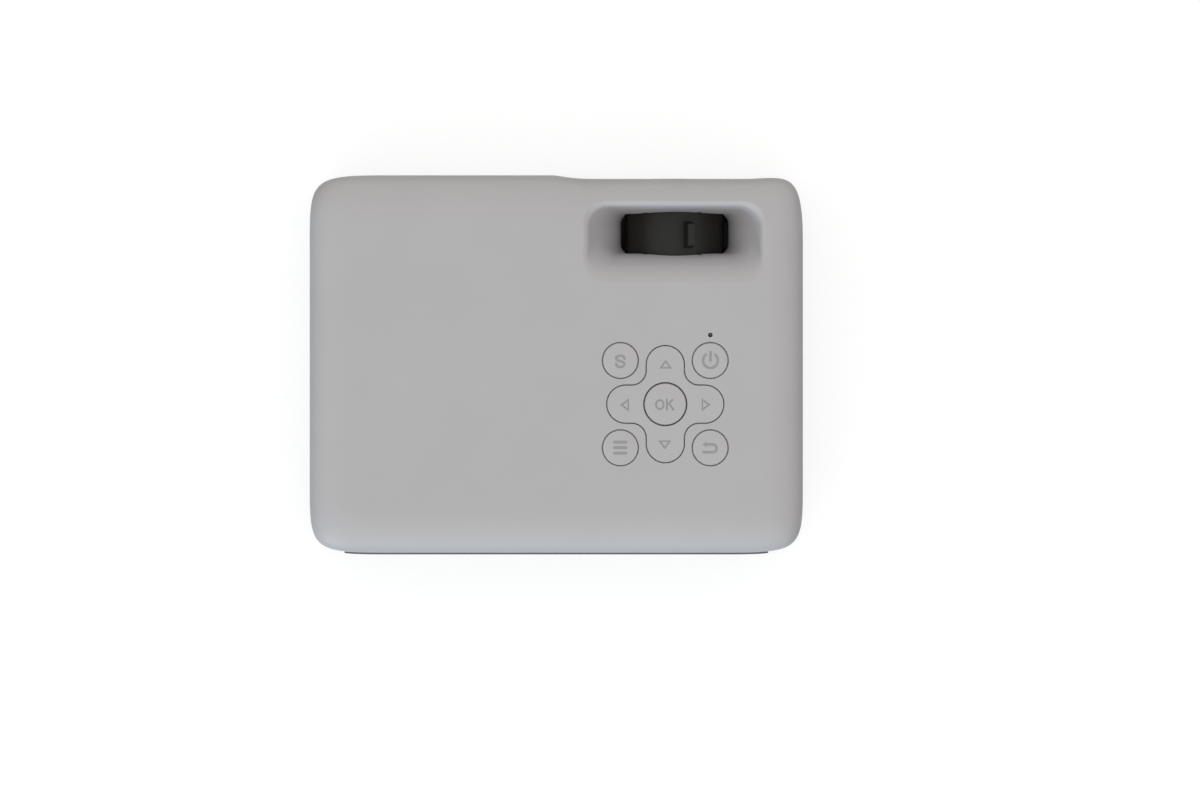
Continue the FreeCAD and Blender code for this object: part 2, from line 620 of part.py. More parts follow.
def key_centres():
    """The four round keys' centres, by name."""
    return {
        "button_source": (KEYPAD_X + KEY_SPACING_X, KEYPAD_Y - KEY_SPACING_Y),
        "button_power": (KEYPAD_X - KEY_SPACING_X, KEYPAD_Y - KEY_SPACING_Y),
        "button_menu": (KEYPAD_X + KEY_SPACING_X, KEYPAD_Y + KEY_SPACING_Y),
        "button_back": (KEYPAD_X - KEY_SPACING_X, KEYPAD_Y + KEY_SPACING_Y),
    }


def switch_centres():
    """Every tact switch: the round keys', the middle key's and one under each arm of the pad."""
    press = PAD_REACH - PAD_ARM + 1.0
    arms = [(KEYPAD_X + press * dx, KEYPAD_Y + press * dy)
            for dx, dy in ((1, 0), (-1, 0), (0, 1), (0, -1))]
    return list(key_centres().values()) + [(KEYPAD_X, KEYPAD_Y)] + arms


def key_board_corners():
    """Screw places of the keypad board."""
    return [(KEYPAD_X + sx * (KEY_SPACING_X + 7.6), KEYPAD_Y + sy * (KEY_SPACING_Y + 13.0))
            for sx in (-1, 1) for sy in (-1, 1)]


# ================================================================ focus recess
def recess_ends(depth):
    """Where the recess's front and rear walls stand at a depth below the top face."""
    share = min(1.0, depth / RECESS_END_DEPTH)
    front = 1 - (1 - share) ** RECESS_FRONT_POWER
    rear = 1 - (1 - share) ** RECESS_REAR_POWER
    return (RECESS_FRONT_Y + (RECESS_NECK_FRONT_Y - RECESS_FRONT_Y) * front,
            RECESS_REAR_Y + (RECESS_NECK_REAR_Y - RECESS_REAR_Y) * rear)


def recess_outline(depth, side_grow, front_grow):
    """The recess's plan outline at a depth below the top face."""
    side = 1 - (1 - depth / RECESS_DEPTH) ** RECESS_SIDE_POWER
    half = RECESS_HALF_WIDTH + (RECESS_NECK_HALF_WIDTH - RECESS_HALF_WIDTH) * side + side_grow
    front, rear = recess_ends(depth)
    y0, y1 = front - front_grow, rear + side_grow
    corner = RECESS_CORNER + (RECESS_NECK_CORNER - RECESS_CORNER) * side + side_grow
    return rounded_outline(LENS_X - half, LENS_X + half, y0, y1, corner, CASE_TOP - depth)


def lip_grow(depth, drop):
    """How far the rounded lip opens the recess at a depth, on an edge that lies `drop` lower."""
    below = depth - drop
    if below >= RECESS_EDGE_ROUND:
        return 0.0
    if below <= 0:
        return RECESS_EDGE_ROUND - below
    return RECESS_EDGE_ROUND - math.sqrt(RECESS_EDGE_ROUND ** 2 - (RECESS_EDGE_ROUND - below) ** 2)


def recess_void():
    """The hollow down to the focus ring: a rounded lip on a smooth funnel."""
    lip_end = RECESS_EDGE_ROUND + RECESS_FRONT_DROP
    depths = [-RECESS_EDGE_ROUND] + [lip_end * (i + 0.5) / LIP_STEPS for i in range(LIP_STEPS)] + [lip_end]
    lip = Part.makeLoft([recess_outline(d, lip_grow(d, 0), lip_grow(d, RECESS_FRONT_DROP)) for d in depths],
                        True, True)
    span = RECESS_DEPTH - lip_end
    funnel = Part.makeLoft([recess_outline(lip_end + span * share, 0, 0) for share in RECESS_STEPS],
                           True, False)
    return lip.fuse(funnel)


def window_notches():
    """Small notches where the recess's walls end on the ring, three in each long edge."""
    cutters = []
    for along in WINDOW_NOTCHES:
        edge_z = LENS_Z + math.sqrt((RING_RADIUS + RING_CLEARANCE) ** 2 - along ** 2)
        front, rear = recess_ends(CASE_TOP - edge_z)
        x0, x1 = LENS_X + along - NOTCH_WIDTH / 2, LENS_X + along + NOTCH_WIDTH / 2
        cutters.append(block(x0, x1, front - NOTCH_DEPTH, rear + NOTCH_DEPTH,
                             edge_z - NOTCH_HEIGHT, edge_z + NOTCH_HEIGHT))
    return cutters


def recess_tub():
    """The recess's outside, one wall larger than its inside."""
    return Part.makeLoft([recess_outline(RECESS_DEPTH * share, WALL, WALL) for share in RECESS_STEPS],
                         True, False)


# ================================================================ shells
def vent_row(count, start, along, size):
    """A row of slot cutters: box `size`, the first centred on start, each VENT_PITCH further along."""
    cutters = []
    for i in range(count):
        place = Vector(*start) + along * (VENT_PITCH * i)
        half = Vector(*size) * 0.5
        cutters.append(Part.makeBox(*size, place - half))
    return cutters


def bezel_slot(gap):
    """The disc tray bezel's outline as a block through the side wall."""
    half = DRIVE_HALF_WIDTH + gap
    return rounded_side(half, DRIVE_Z - gap, DRIVE_TOP_Z + gap, SIDE_X - 6, SIDE_X + 1, 1.5)


def rounded_side(half_y, z0, z1, x0, x1, radius):
    """A round-cornered plate in the YZ plane, x0 to x1 thick, centred on Y = 0."""
    flat = Part.Face(rounded_outline(-half_y, half_y, z0, z1, radius, 0)).extrude(Vector(0, 0, x1 - x0))
    flat.Placement = Placement(Vector(x0, 0, 0), Rotation(Vector(0, 1, 0), Vector(0, 0, 1),
                                                          Vector(1, 0, 0), "ZXY"))
    return flat


def make_top_shell():
    shell = case_top_form(0).cut(case_top_form(WALL).cut(recess_tub()))
    room = case_top_form(WALL / 2)
    posts = [rod(POST_RADIUS, CASE_TOP - POST_MEET_Z, (x, y, POST_MEET_Z)) for x, y in CASE_SCREWS]
    posts += [rod(2.6, CASE_TOP - KEY_BOARD_Z - 0.5, (x, y, KEY_BOARD_Z)) for x, y in key_board_corners()]
    posts += [rod(2.6, SPEAKER_FACE_Y - FRONT_Y - WALL / 2, (x, FRONT_Y + WALL / 2, z), REARWARD)
              for x, z in speaker_screw_places()]
    shell = fuse([shell] + [post.common(room) for post in posts])
    cuts = [recess_void()] + window_notches()
    cuts.append(rod(RING_RADIUS + RING_CLEARANCE, 60, (LENS_X, SCOOP_Y + WALL + 0.5, LENS_Z), REARWARD))
    cuts.append(rod(BEZEL_BODY_RADIUS + FIT_GAP, 12, (LENS_X, FRONT_Y - 2, LENS_Z), REARWARD))
    cuts += [rod(SCREW_SHANK + PILOT_GAP, 20, (x, y, PARTING_Z)) for x, y in CASE_SCREWS]
    cuts += [rod(SMALL_SHANK + PILOT_GAP, 4.5, (x, y, KEY_BOARD_Z - 0.5)) for x, y in key_board_corners()]
    cuts += [rod(SMALL_SHANK + PILOT_GAP, 4, (x, SPEAKER_FACE_Y - 3.6, z), REARWARD)
             for x, z in speaker_screw_places()]
    hole = KEY_RADIUS + KEY_GAP
    cuts += [rod(hole, WALL + 2, (x, y, CEILING_Z - 1)) for x, y in key_centres().values()]
    cuts.append(pad_prism(KEY_GAP, CEILING_Z - 1, CASE_TOP + 1))
    cuts.append(rod(LIGHT_HOLE_RADIUS, WALL + 2, (LIGHT_X, LIGHT_Y, CEILING_Z - 1)))
    cuts.append(bezel_slot(BEZEL_GAP))
    cuts.append(panel_opening())
    cuts += side_vents() + speaker_slots()
    cuts.append(ir_window_form(FIT_GAP))
    return shell.cut(cuts)


def side_vents():
    rows = int(FAN_SIZE / VENT_PITCH)
    start_y = FAN_Y - VENT_PITCH * (rows - 1) / 2
    return vent_row(rows, (-SIDE_X, start_y, FAN_Z), REARWARD, (WALL * 4, VENT_WIDTH, FAN_SIZE * 0.72))


def speaker_slots():
    start_x = SPEAKER_X - VENT_PITCH * (SPEAKER_SLOTS - 1) / 2
    return vent_row(SPEAKER_SLOTS, (start_x, FRONT_Y, SPEAKER_Z), ALONG_X,
                    (VENT_WIDTH, WALL * 4, SPEAKER_SIDE * 0.7))


def panel_opening():
    half = PANEL_HALF_WIDTH - PANEL_RIM
    return rounded_plate(-half, half, PANEL_LOW_Z + PANEL_RIM, PANEL_HIGH_Z - PANEL_RIM,
                         PANEL_CORNER, REAR_Y - 10, REAR_Y + 2)


def ir_window_form(grow):
    return rounded_plate(IR_X - IR_WIDTH / 2 - grow, IR_X + IR_WIDTH / 2 + grow,
                         IR_Z - IR_HEIGHT / 2 - grow, IR_Z + IR_HEIGHT / 2 + grow,
                         IR_HEIGHT / 2 - 0.1 + grow, FRONT_Y - 1, FRONT_Y + WALL + 1)


def post(radius, x, y, top, low=None):
    """A post that stands on the base's floor."""
    return rod(radius, top - (FLOOR_Z - 0.5 if low is None else low),
               (x, y, FLOOR_Z - 0.5 if low is None else low))


def board_posts():
    """(x, y, top) of every small post that carries a board, the engine or the drive."""
    places = [(x, y, MAIN_BOARD_Z) for x, y in board_holes(MAIN_BOARD, SOCKET_ROOM)]
    places += [(x, y, POWER_BOARD_Z) for x, y in board_holes(POWER_BOARD, HOLE_INSET)]
    places += [(x, y, ENGINE_LOW_Z) for x, y in ENGINE_EARS]
    places += [(x, y, DRIVE_Z) for x, y in DRIVE_EARS]
    return places


def tongue():
    """The base's locating lip, which stands inside the top shell's wall."""
    inner = Part.Face(case_outline(WALL + FIT_GAP + TONGUE, PARTING_Z - 4, 1.0))
    low = Part.Face(case_outline(WALL - 0.1, PARTING_Z - 4, 1.0)).extrude(Vector(0, 0, 4))
    high = Part.Face(case_outline(WALL + FIT_GAP, PARTING_Z - 4, 1.0))
    high = high.extrude(Vector(0, 0, 4 + TONGUE_RISE))
    return low.fuse(high).cut(inner.extrude(Vector(0, 0, 4 + TONGUE_RISE)))


def make_base():
    shell = case_base_form(0).cut(case_base_form(WALL))
    solids = [shell, tongue()]
    room = case_base_form(WALL / 2)
    solids += [post(POST_RADIUS, x, y, PARTING_Z).common(room).fuse(
        rod(POST_RADIUS - 0.6, POST_MEET_Z - PARTING_Z + 4, (x, y, PARTING_Z - 4))) for x, y in CASE_SCREWS]
    solids += [post(SMALL_POST, x, y, top) for x, y, top in board_posts()]
    solids.append(post(TRIPOD_OUTER + 2.4, 0, TRIPOD_Y, FOOT_GAP + TRIPOD_LENGTH + 1.5))
    solids.append(post(LEVEL_SCREW_RADIUS + 3.0, LEVEL_FOOT_X, LEVEL_FOOT_Y, LEVEL_BOSS_Z))
    base = fuse(solids)
    cuts = [panel_opening()]
    for x, y in CASE_SCREWS:
        cuts.append(rod(SCREW_HEAD + 0.3, POST_SEAT_Z, (x, y, 0)))
        cuts.append(rod(SCREW_SHANK + 0.15, 30, (x, y, 0)))
    cuts += [rod(SMALL_SHANK + PILOT_GAP, 6, (x, y, top - 6)) for x, y, top in board_posts()]
    cuts += [rod(FOOT_RADIUS + FIT_GAP, FOOT_POCKET, (x, y, FOOT_GAP)) for x, y in FEET]
    cuts.append(rod(TRIPOD_OUTER, TRIPOD_LENGTH, (0, TRIPOD_Y, FOOT_GAP)))
    cuts.append(rod(LEVEL_KNOB_RADIUS + 0.6, 1.0, (LEVEL_FOOT_X, LEVEL_FOOT_Y, FOOT_GAP)))
    cuts.append(rod(LEVEL_SCREW_RADIUS + 0.08, 60, (LEVEL_FOOT_X, LEVEL_FOOT_Y, 0)))
    cuts += vent_row(BASE_VENTS, (ENGINE_X - VENT_PITCH * (BASE_VENTS - 1) / 2, BASE_VENT_Y, FOOT_GAP),
                     ALONG_X, (VENT_WIDTH, BASE_VENT_LENGTH, WALL * 4))
    return base.cut(cuts)


# ================================================================ rear panel and sockets
def panel_skin():
    """The part of the panel that lies on the shell's rear face, thinning out round the corners."""
    outline = Part.Face(case_outline(0, PANEL_LOW_Z, 1.0)).extrude(Vector(0, 0, PANEL_HIGH_Z - PANEL_LOW_Z))
    moved = outline.copy()
    moved.translate(Vector(0, PANEL_PROUD, 0))
    window = rounded_plate(-PANEL_HALF_WIDTH, PANEL_HALF_WIDTH, PANEL_LOW_Z + 0.01, PANEL_HIGH_Z - 0.01,
                           PANEL_CORNER + PANEL_RIM, REAR_Y - 12, REAR_Y + 1)
    return moved.cut(outline).common(window)


def socket_cutters(gap):
    """The sockets' outlines as cutters through the panel, grown by gap."""
    y0, y1 = REAR_Y - 6, REAR_Y + 1
    cuts = []
    for x in HDMI_X:
        cuts.append(block(x - HDMI_WIDTH / 2 - gap, x + HDMI_WIDTH / 2 + gap, y0, y1,
                          SOCKET_Z - gap, SOCKET_Z + HDMI_HEIGHT + gap))
    for x in USB_X:
        cuts.append(block(x - USB_WIDTH / 2 - gap, x + USB_WIDTH / 2 + gap, y0, y1,
                          SOCKET_Z - gap, SOCKET_Z + USB_HEIGHT + gap))
    cuts += [rod(JACK_NOSE + gap, 7, (x, y0, JACK_Z), REARWARD) for x in JACK_X]
    cuts.append(rounded_plate(INLET_X - INLET_WIDTH / 2 - gap, INLET_X + INLET_WIDTH / 2 + gap,
                              INLET_Z - INLET_HEIGHT / 2 - gap, INLET_Z + INLET_HEIGHT / 2 + gap,
                              2.0, y0, y1))
    return cuts


def make_rear_panel():
    half = PANEL_HALF_WIDTH - PANEL_RIM - PANEL_GAP
    body = rounded_plate(-half, half, PANEL_LOW_Z + PANEL_RIM + PANEL_GAP,
                         PANEL_HIGH_Z - PANEL_RIM - PANEL_GAP, PANEL_CORNER - PANEL_GAP,
                         SHELL_REAR_Y - PANEL_THICK, REAR_Y - 0.01)
    limit = Part.Face(case_outline(0, 0, 1.0)).extrude(Vector(0, 0, CASE_TOP))
    limit.translate(Vector(0, PANEL_PROUD, 0))
    panel = panel_skin().fuse(body.common(limit))
    slots = vent_row(PANEL_VENTS, (PANEL_VENT_X, REAR_Y, PANEL_VENT_Z), ALONG_X,
                     (VENT_WIDTH, 14, PANEL_VENT_HEIGHT))
    return panel.cut(socket_cutters(0.2) + slots)


def make_hdmi_sockets():
    """Open metal shells with the contact tongue inside."""
    sockets = []
    for x in HDMI_X:
        y0, y1 = REAR_Y - HDMI_DEPTH, REAR_Y - SOCKET_PROUD
        half = HDMI_WIDTH / 2
        shell = block(x - half, x + half, y0, y1, SOCKET_Z, SOCKET_Z + HDMI_HEIGHT)
        cavity = block(x - half + 0.5, x + half - 0.5, y0 + 2, y1 + 1, SOCKET_Z + 0.5,
                       SOCKET_Z + HDMI_HEIGHT - 0.5)
        contact = block(x - half + 2.4, x + half - 2.4, y0 + 1, y1 - 2, SOCKET_Z + 2.3, SOCKET_Z + 3.3)
        sockets.append(shell.cut(cavity).fuse(contact))
    return sockets


def make_usb_sockets():
    sockets = []
    for x in USB_X:
        y0, y1 = REAR_Y - USB_DEPTH, REAR_Y - SOCKET_PROUD
        half = USB_WIDTH / 2
        shell = block(x - half, x + half, y0, y1, SOCKET_Z, SOCKET_Z + USB_HEIGHT)
        cavity = block(x - half + 0.5, x + half - 0.5, y0 + 2, y1 + 1, SOCKET_Z + 0.5,
                       SOCKET_Z + USB_HEIGHT - 0.5)
        contact = block(x - half + 1.2, x + half - 1.2, y0 + 1, y1 - 1.5, SOCKET_Z + 4.4,
                        SOCKET_Z + USB_HEIGHT - 0.9)
        sockets.append(shell.cut(cavity).fuse(contact))
    return sockets


def make_jack(x):
    """A 3.5 mm socket: a block on the board and a round nose through the panel."""
    end = REAR_Y - SOCKET_PROUD
    body = block(x - 4.5, x + 4.5, end - JACK_DEPTH, SHELL_REAR_Y - PANEL_THICK - 0.1, SOCKET_Z, JACK_Z + 4)
    nose = rod(JACK_NOSE, 6, (x, end - 6, JACK_Z), REARWARD)
    return body.fuse(nose).cut(rod(JACK_RADIUS, JACK_DEPTH, (x, end - JACK_DEPTH + 1, JACK_Z), REARWARD))


def make_power_inlet():
    """A two-pin appliance inlet: an open shroud with the pins inside, screwed behind the panel."""
    end = REAR_Y - SOCKET_PROUD
    half, rise = INLET_WIDTH / 2, INLET_HEIGHT / 2
    shroud = rounded_plate(INLET_X - half, INLET_X + half, INLET_Z - rise, INLET_Z + rise, 2.0,
                           end - INLET_DEPTH, end)
    cavity = rounded_plate(INLET_X - half + 1.6, INLET_X + half - 1.6, INLET_Z - rise + 1.6,
                           INLET_Z + rise - 1.6, 4.0, end - INLET_DEPTH + 3, end + 1)
    flange = block(INLET_X - half - 1.5, INLET_X + half + 1.5, SHELL_REAR_Y - PANEL_THICK - 1.6,
                   SHELL_REAR_Y - PANEL_THICK - 0.1, INLET_Z - rise - 1.5, INLET_Z + rise + 1.5)
    inlet = shroud.fuse(flange).cut(cavity)
    pins = [rod(1.2, INLET_DEPTH - 6, (INLET_X + side * 4.3, end - INLET_DEPTH + 1, INLET_Z), REARWARD)
            for side in (-1, 1)]
    return fuse([inlet] + pins)


# ================================================================ boards
def make_board(board, z, rear_inset):
    """A board with its screw holes, and holes for those of the drive's posts that pass it."""
    x0, x1, y0, y1 = board
    plate = block(x0, x1, y0, y1, z, z + BOARD_THICK)
    cuts = [rod(SMALL_SHANK + 0.2, 5, (x, y, z - 1)) for x, y in board_holes(board, rear_inset)]
    cuts += [rod(SMALL_POST + 0.8, 5, (x, y, z - 1)) for x, y in DRIVE_EARS]
    return plate.cut(cuts)


def make_chip_sink():
    """The finned cooler on the main processor."""
    base_z = MAIN_BOARD_Z + BOARD_THICK
    from_side, from_front, side = CHIP_SINK
    x0, y0 = MAIN_BOARD[0] + from_side, MAIN_BOARD[2] + from_front
    plate = block(x0, x0 + side, y0, y0 + side, base_z, base_z + 3)
    count = int(side / 4)
    fins = [block(x0 + i * 4 + 0.9, x0 + i * 4 + 2.1, y0, y0 + side, base_z + 2.5, base_z + 11)
            for i in range(count)]
    return fuse([plate] + fins)


def make_power_parts():
    """Transformer, choke and two capacitors on the power board."""
    x, y, z = POWER_BOARD[0], POWER_BOARD[2], POWER_BOARD_Z + BOARD_THICK
    core = block(x + 22, x + 50, y + 18, y + 42, z + 2, z + 20)
    winding = rod(9.5, 18, (x + 36, y + 30, z + 1)).fuse(block(x + 24, x + 48, y + 24, y + 36, z, z + 3))
    choke = pipe(9, 4, 9, (x + 74, y + 18, z))
    caps = [rod(8, 21, (x + 68, y + 42, z)), rod(8, 21, (x + 88, y + 42, z))]
    return [core.fuse(winding), choke] + caps


# ================================================================ keypad
def make_round_key(x, y):
    cap = rod(KEY_RADIUS, CASE_TOP - CEILING_Z + 0.2, (x, y, CEILING_Z - 0.2))
    cap = cap.makeFillet(0.35, [cap.Edges[0]])
    flange_top = CEILING_Z - 0.05
    flange = rod(KEY_RADIUS + KEY_FLANGE, KEY_FLANGE_THICK, (x, y, flange_top - KEY_FLANGE_THICK))
    stem = rod(STEM_RADIUS, flange_top - STEM_END_Z, (x, y, STEM_END_Z))
    return fuse([cap, flange, stem])


def make_ok_key():
    """The middle key: a cap on a skirt whose flange is held down by the pad around it."""
    place = (KEYPAD_X, KEYPAD_Y)
    skirt = rod(OK_RADIUS, CASE_TOP - OK_SKIRT_Z, (*place, OK_SKIRT_Z))
    skirt = skirt.makeFillet(0.5, [skirt.Edges[0]])
    flange = rod(OK_RADIUS + OK_FLANGE, OK_FLANGE_TOP_Z - OK_SKIRT_Z, (*place, OK_SKIRT_Z))
    hollow = rod(OK_RADIUS - 1.4, CASE_TOP - 3 - OK_SKIRT_Z + 1, (*place, OK_SKIRT_Z - 1))
    stem = rod(STEM_RADIUS, CASE_TOP - 2.5 - STEM_END_Z, (*place, STEM_END_Z))
    return skirt.fuse(flange).cut(hollow).fuse(stem)


def make_nav_pad():
    """The four-way pad, with its flange, one stem per arm and two pivot pins along X."""
    top = pad_prism(0, CEILING_Z - PAD_FLANGE_DROP - 0.2, CASE_TOP)
    flange_top = CEILING_Z - PAD_FLANGE_DROP
    flange = pad_prism(KEY_FLANGE, flange_top - KEY_FLANGE_THICK, flange_top)
    under = flange_top - KEY_FLANGE_THICK
    parts = [top, flange]
    for x, y in switch_centres()[5:]:
        parts.append(rod(STEM_RADIUS, under + 0.3 - PAD_STEM_END_Z, (x, y, PAD_STEM_END_Z)))
    for side in (-1, 1):
        x0, x1 = sorted((KEYPAD_X + side * LUG_NEAR, KEYPAD_X + side * LUG_FAR))
        parts.append(block(x0, x1, KEYPAD_Y - 1.5, KEYPAD_Y + 1.5, GIMBAL_Z - 0.8, under + 0.3))
        parts.append(rod(PIVOT_PIN, LUG_FAR - PIVOT_PIN_END - 0.5,
                         (KEYPAD_X + side * PIVOT_PIN_END, KEYPAD_Y, GIMBAL_Z), Vector(side, 0, 0)))
    hole = rod(OK_RADIUS + OK_GAP, 10, (KEYPAD_X, KEYPAD_Y, CEILING_Z - 6))
    return fuse(parts).cut(hole)


def make_pad_gimbal():
    """The ring that lets the pad rock both ways. It turns on pins along Y and carries the pad's pins."""
    ring = pipe(GIMBAL_OUTER, GIMBAL_INNER, GIMBAL_THICK, (KEYPAD_X, KEYPAD_Y, GIMBAL_Z - GIMBAL_THICK / 2))
    pins = [rod(PIVOT_PIN, LUG_FAR - GIMBAL_OUTER + 0.3,
                (KEYPAD_X, KEYPAD_Y + side * (GIMBAL_OUTER - 0.3), GIMBAL_Z), Vector(0, side, 0))
            for side in (-1, 1)]
    bore = rod(PIVOT_PIN + PIVOT_CLEARANCE, 2 * GIMBAL_OUTER + 2,
               (KEYPAD_X - GIMBAL_OUTER - 1, KEYPAD_Y, GIMBAL_Z), ALONG_X)
    return fuse([ring] + pins).cut(bore)


def make_key_board():
    """The keypad's circuit board with the two gimbal brackets."""
    reach_x, reach_y = KEY_SPACING_X + 11.0, KEY_SPACING_Y + 16.5
    board = rounded_block(KEYPAD_X - reach_x, KEYPAD_X + reach_x, KEYPAD_Y - reach_y, KEYPAD_Y + reach_y,
                          2.0, KEY_BOARD_Z - KEY_BOARD_THICK, KEY_BOARD_Z)
    parts = [board]
    for side in (-1, 1):
        y0, y1 = sorted((KEYPAD_Y + side * LUG_NEAR, KEYPAD_Y + side * LUG_FAR))
        parts.append(block(KEYPAD_X - 1.6, KEYPAD_X + 1.6, y0, y1, KEY_BOARD_Z - 0.2, GIMBAL_Z + 1.2))
    bore = rod(PIVOT_PIN + PIVOT_CLEARANCE, 2 * LUG_FAR + 2, (KEYPAD_X, KEYPAD_Y - LUG_FAR - 1, GIMBAL_Z),
               REARWARD)
    holes = [rod(SMALL_SHANK + 0.2, 5, (x, y, KEY_BOARD_Z - 3)) for x, y in key_board_corners()]
    return fuse(parts).cut([bore] + holes)


def make_switches():
    switches = []
    for x, y in switch_centres():
        half = SWITCH_SIDE / 2
        can = block(x - half, x + half, y - half, y + half, KEY_BOARD_Z, KEY_BOARD_Z + SWITCH_HEIGHT)
        switches.append(can.fuse(rod(PLUNGER_RADIUS, PLUNGER_HEIGHT + 0.3,
                                     (x, y, KEY_BOARD_Z + SWITCH_HEIGHT - 0.3))))
    return switches


def make_light_pipe():
    low = KEY_BOARD_Z + 0.8
    pipe_rod = rod(LIGHT_RADIUS, CASE_TOP - low, (LIGHT_X, LIGHT_Y, low))
    return pipe_rod.fuse(rod(LIGHT_RADIUS + LIGHT_FLANGE, 1.2, (LIGHT_X, LIGHT_Y, CEILING_Z - 1.2)))


# ================================================================ lens
def polar(radius, degrees, y):
    """A point round the lens axis, degrees from straight up towards +X."""
    angle = math.radians(degrees)
    return Vector(LENS_X + radius * math.sin(angle), y, LENS_Z + radius * math.cos(angle))


def outwards(degrees):
    angle = math.radians(degrees)
    return Vector(math.sin(angle), 0, math.cos(angle))


def make_focus_ring():
    """The ring with its finger tab outside and one cam groove inside for each pin of the barrel."""
    ring = pipe(RING_RADIUS, RING_BORE, RING_LENGTH, (LENS_X, RING_FRONT_Y, LENS_Z), REARWARD)
    ring = ring.makeChamfer(0.5, [e for e in ring.Edges if e.BoundBox.XLength > 2 * RING_RADIUS - 0.1])
    middle = RING_FRONT_Y + RING_LENGTH / 2 + GRIP_FROM_MIDDLE
    half, foot = GRIP_WIDTH / 2, GRIP_LENGTH / 2
    root, crest = RING_RADIUS - 0.5, RING_RADIUS + GRIP_HEIGHT
    points = [Vector(-half, -foot, root), Vector(-half, foot, root),
              Vector(-half, foot - GRIP_TAPER, crest), Vector(-half, GRIP_TAPER - foot, crest)]
    tab = Part.Face(Part.makePolygon(points + points[:1])).extrude(Vector(GRIP_WIDTH, 0, 0))
    tab = tab.makeFillet(GRIP_ROUND, [e for e in tab.Edges if e.BoundBox.ZMin > crest - 0.01])
    tab.Placement = Placement(Vector(LENS_X, middle, LENS_Z), Rotation(REARWARD, -GRIP_ANGLE))
    grooves = []
    steps = int(round((FOCUS_MAX_DEG - FOCUS_MIN_DEG) / CAM_STEP_DEG))
    for pin in CAM_PINS_DEG:
        for i in range(steps + 1):
            turn = FOCUS_MIN_DEG + CAM_STEP_DEG * i
            y = BARREL_PIN_Y - CAM_LEAD * turn / 360
            grooves.append(rod(CAM_PIN_RADIUS + 0.3, CAM_PIN_REACH + 0.3 - RING_BORE + 0.5,
                               polar(RING_BORE - 0.5, pin - turn, y), outwards(pin - turn)))
    return ring.fuse(tab).cut(fuse(grooves))


def make_lens_tube():
    """The fixed tube that the barrel slides in and the ring turns on, with its square flange."""
    rear = ENGINE_FRONT_Y
    tube = rod(MOUNT_TUBE_RADIUS, rear - TUBE_FRONT_Y, (LENS_X, TUBE_FRONT_Y, LENS_Z), REARWARD)
    collar = rod(RING_RADIUS - 0.6, 3.0, (LENS_X, RING_REAR_Y + 0.3, LENS_Z), REARWARD)
    side = TUBE_FLANGE / 2
    flange = block(LENS_X - side, LENS_X + side, rear - 3, rear, LENS_Z - side, LENS_Z + side)
    cuts = [rod(MOUNT_TUBE_BORE, 80, (LENS_X, TUBE_FRONT_Y - 1, LENS_Z), REARWARD)]
    far = CAM_LEAD * FOCUS_MAX_DEG / 360 + CAM_PIN_RADIUS + 0.6
    near = CAM_LEAD * FOCUS_MIN_DEG / 360 - CAM_PIN_RADIUS - 0.6
    slot_half = CAM_PIN_RADIUS + 0.1
    for pin in CAM_PINS_DEG:
        slot = block(-slot_half, slot_half, -far, -near, MOUNT_TUBE_BORE - 2, MOUNT_TUBE_RADIUS + 2)
        slot.Placement = Placement(Vector(LENS_X, BARREL_PIN_Y, LENS_Z), Rotation(REARWARD, pin))
        cuts.append(slot)
    cuts += [rod(SMALL_SHANK + 0.2, 5, (x, rear - 4, z), REARWARD) for x, z in lens_screw_places()]
    return fuse([tube, collar, flange]).cut(cuts)


def lens_screw_places():
    reach = TUBE_FLANGE / 2 - 4
    return [(LENS_X + sx * reach, LENS_Z + sz * reach) for sx in (-1, 1) for sz in (-1, 1)]


def make_ring_retainer():
    """The ring that stops the focus ring from coming off the front of the tube."""
    return pipe(RING_RADIUS - 1, MOUNT_TUBE_RADIUS, RING_FRONT_Y - 0.3 - TUBE_FRONT_Y,
                (LENS_X, TUBE_FRONT_Y, LENS_Z), REARWARD)


def make_lens_barrel():
    """The sliding barrel: seats for the glass inside and the cam pins outside."""
    front = BARREL_FRONT_Y
    barrel = rod(BARREL_RADIUS, BARREL_LENGTH, (LENS_X, front, LENS_Z), REARWARD)
    cuts = [rod(GLASS_FRONT + FIT_GAP, GLASS_SEAT, (LENS_X, front, LENS_Z), REARWARD),
            rod(GLASS_FRONT - 1.5, BARREL_LENGTH, (LENS_X, front, LENS_Z), REARWARD),
            rod(GLASS_REAR + FIT_GAP, GLASS_SEAT, (LENS_X, front + BARREL_LENGTH - GLASS_SEAT, LENS_Z),
                REARWARD)]
    barrel = barrel.cut(cuts)
    stop = pipe(GLASS_FRONT - 1, BARREL_STOP, 2, (LENS_X, front + BARREL_LENGTH / 2, LENS_Z), REARWARD)
    pins = [rod(CAM_PIN_RADIUS, CAM_PIN_REACH - BARREL_RADIUS + 1, polar(BARREL_RADIUS - 1, pin, BARREL_PIN_Y),
                outwards(pin)) for pin in CAM_PINS_DEG]
    return fuse([barrel, stop] + pins)


def make_lens_glass():
    """Front and rear elements and the middle one at the stop."""
    front = BARREL_FRONT_Y
    seat = front + GLASS_SEAT
    front_glass = lens_solid(GLASS_FRONT, 3.0, 3.0, -1.0, (LENS_X, seat, LENS_Z), FRONTWARD)
    middle = lens_solid(GLASS_MIDDLE, 2.0, 2.0, 0,
                        (LENS_X, front + BARREL_LENGTH / 2, LENS_Z), FRONTWARD)
    rear_glass = lens_solid(GLASS_REAR, 3.0, 2.6, -0.8,
                            (LENS_X, front + BARREL_LENGTH - GLASS_SEAT, LENS_Z), REARWARD)
    return front_glass, middle, rear_glass


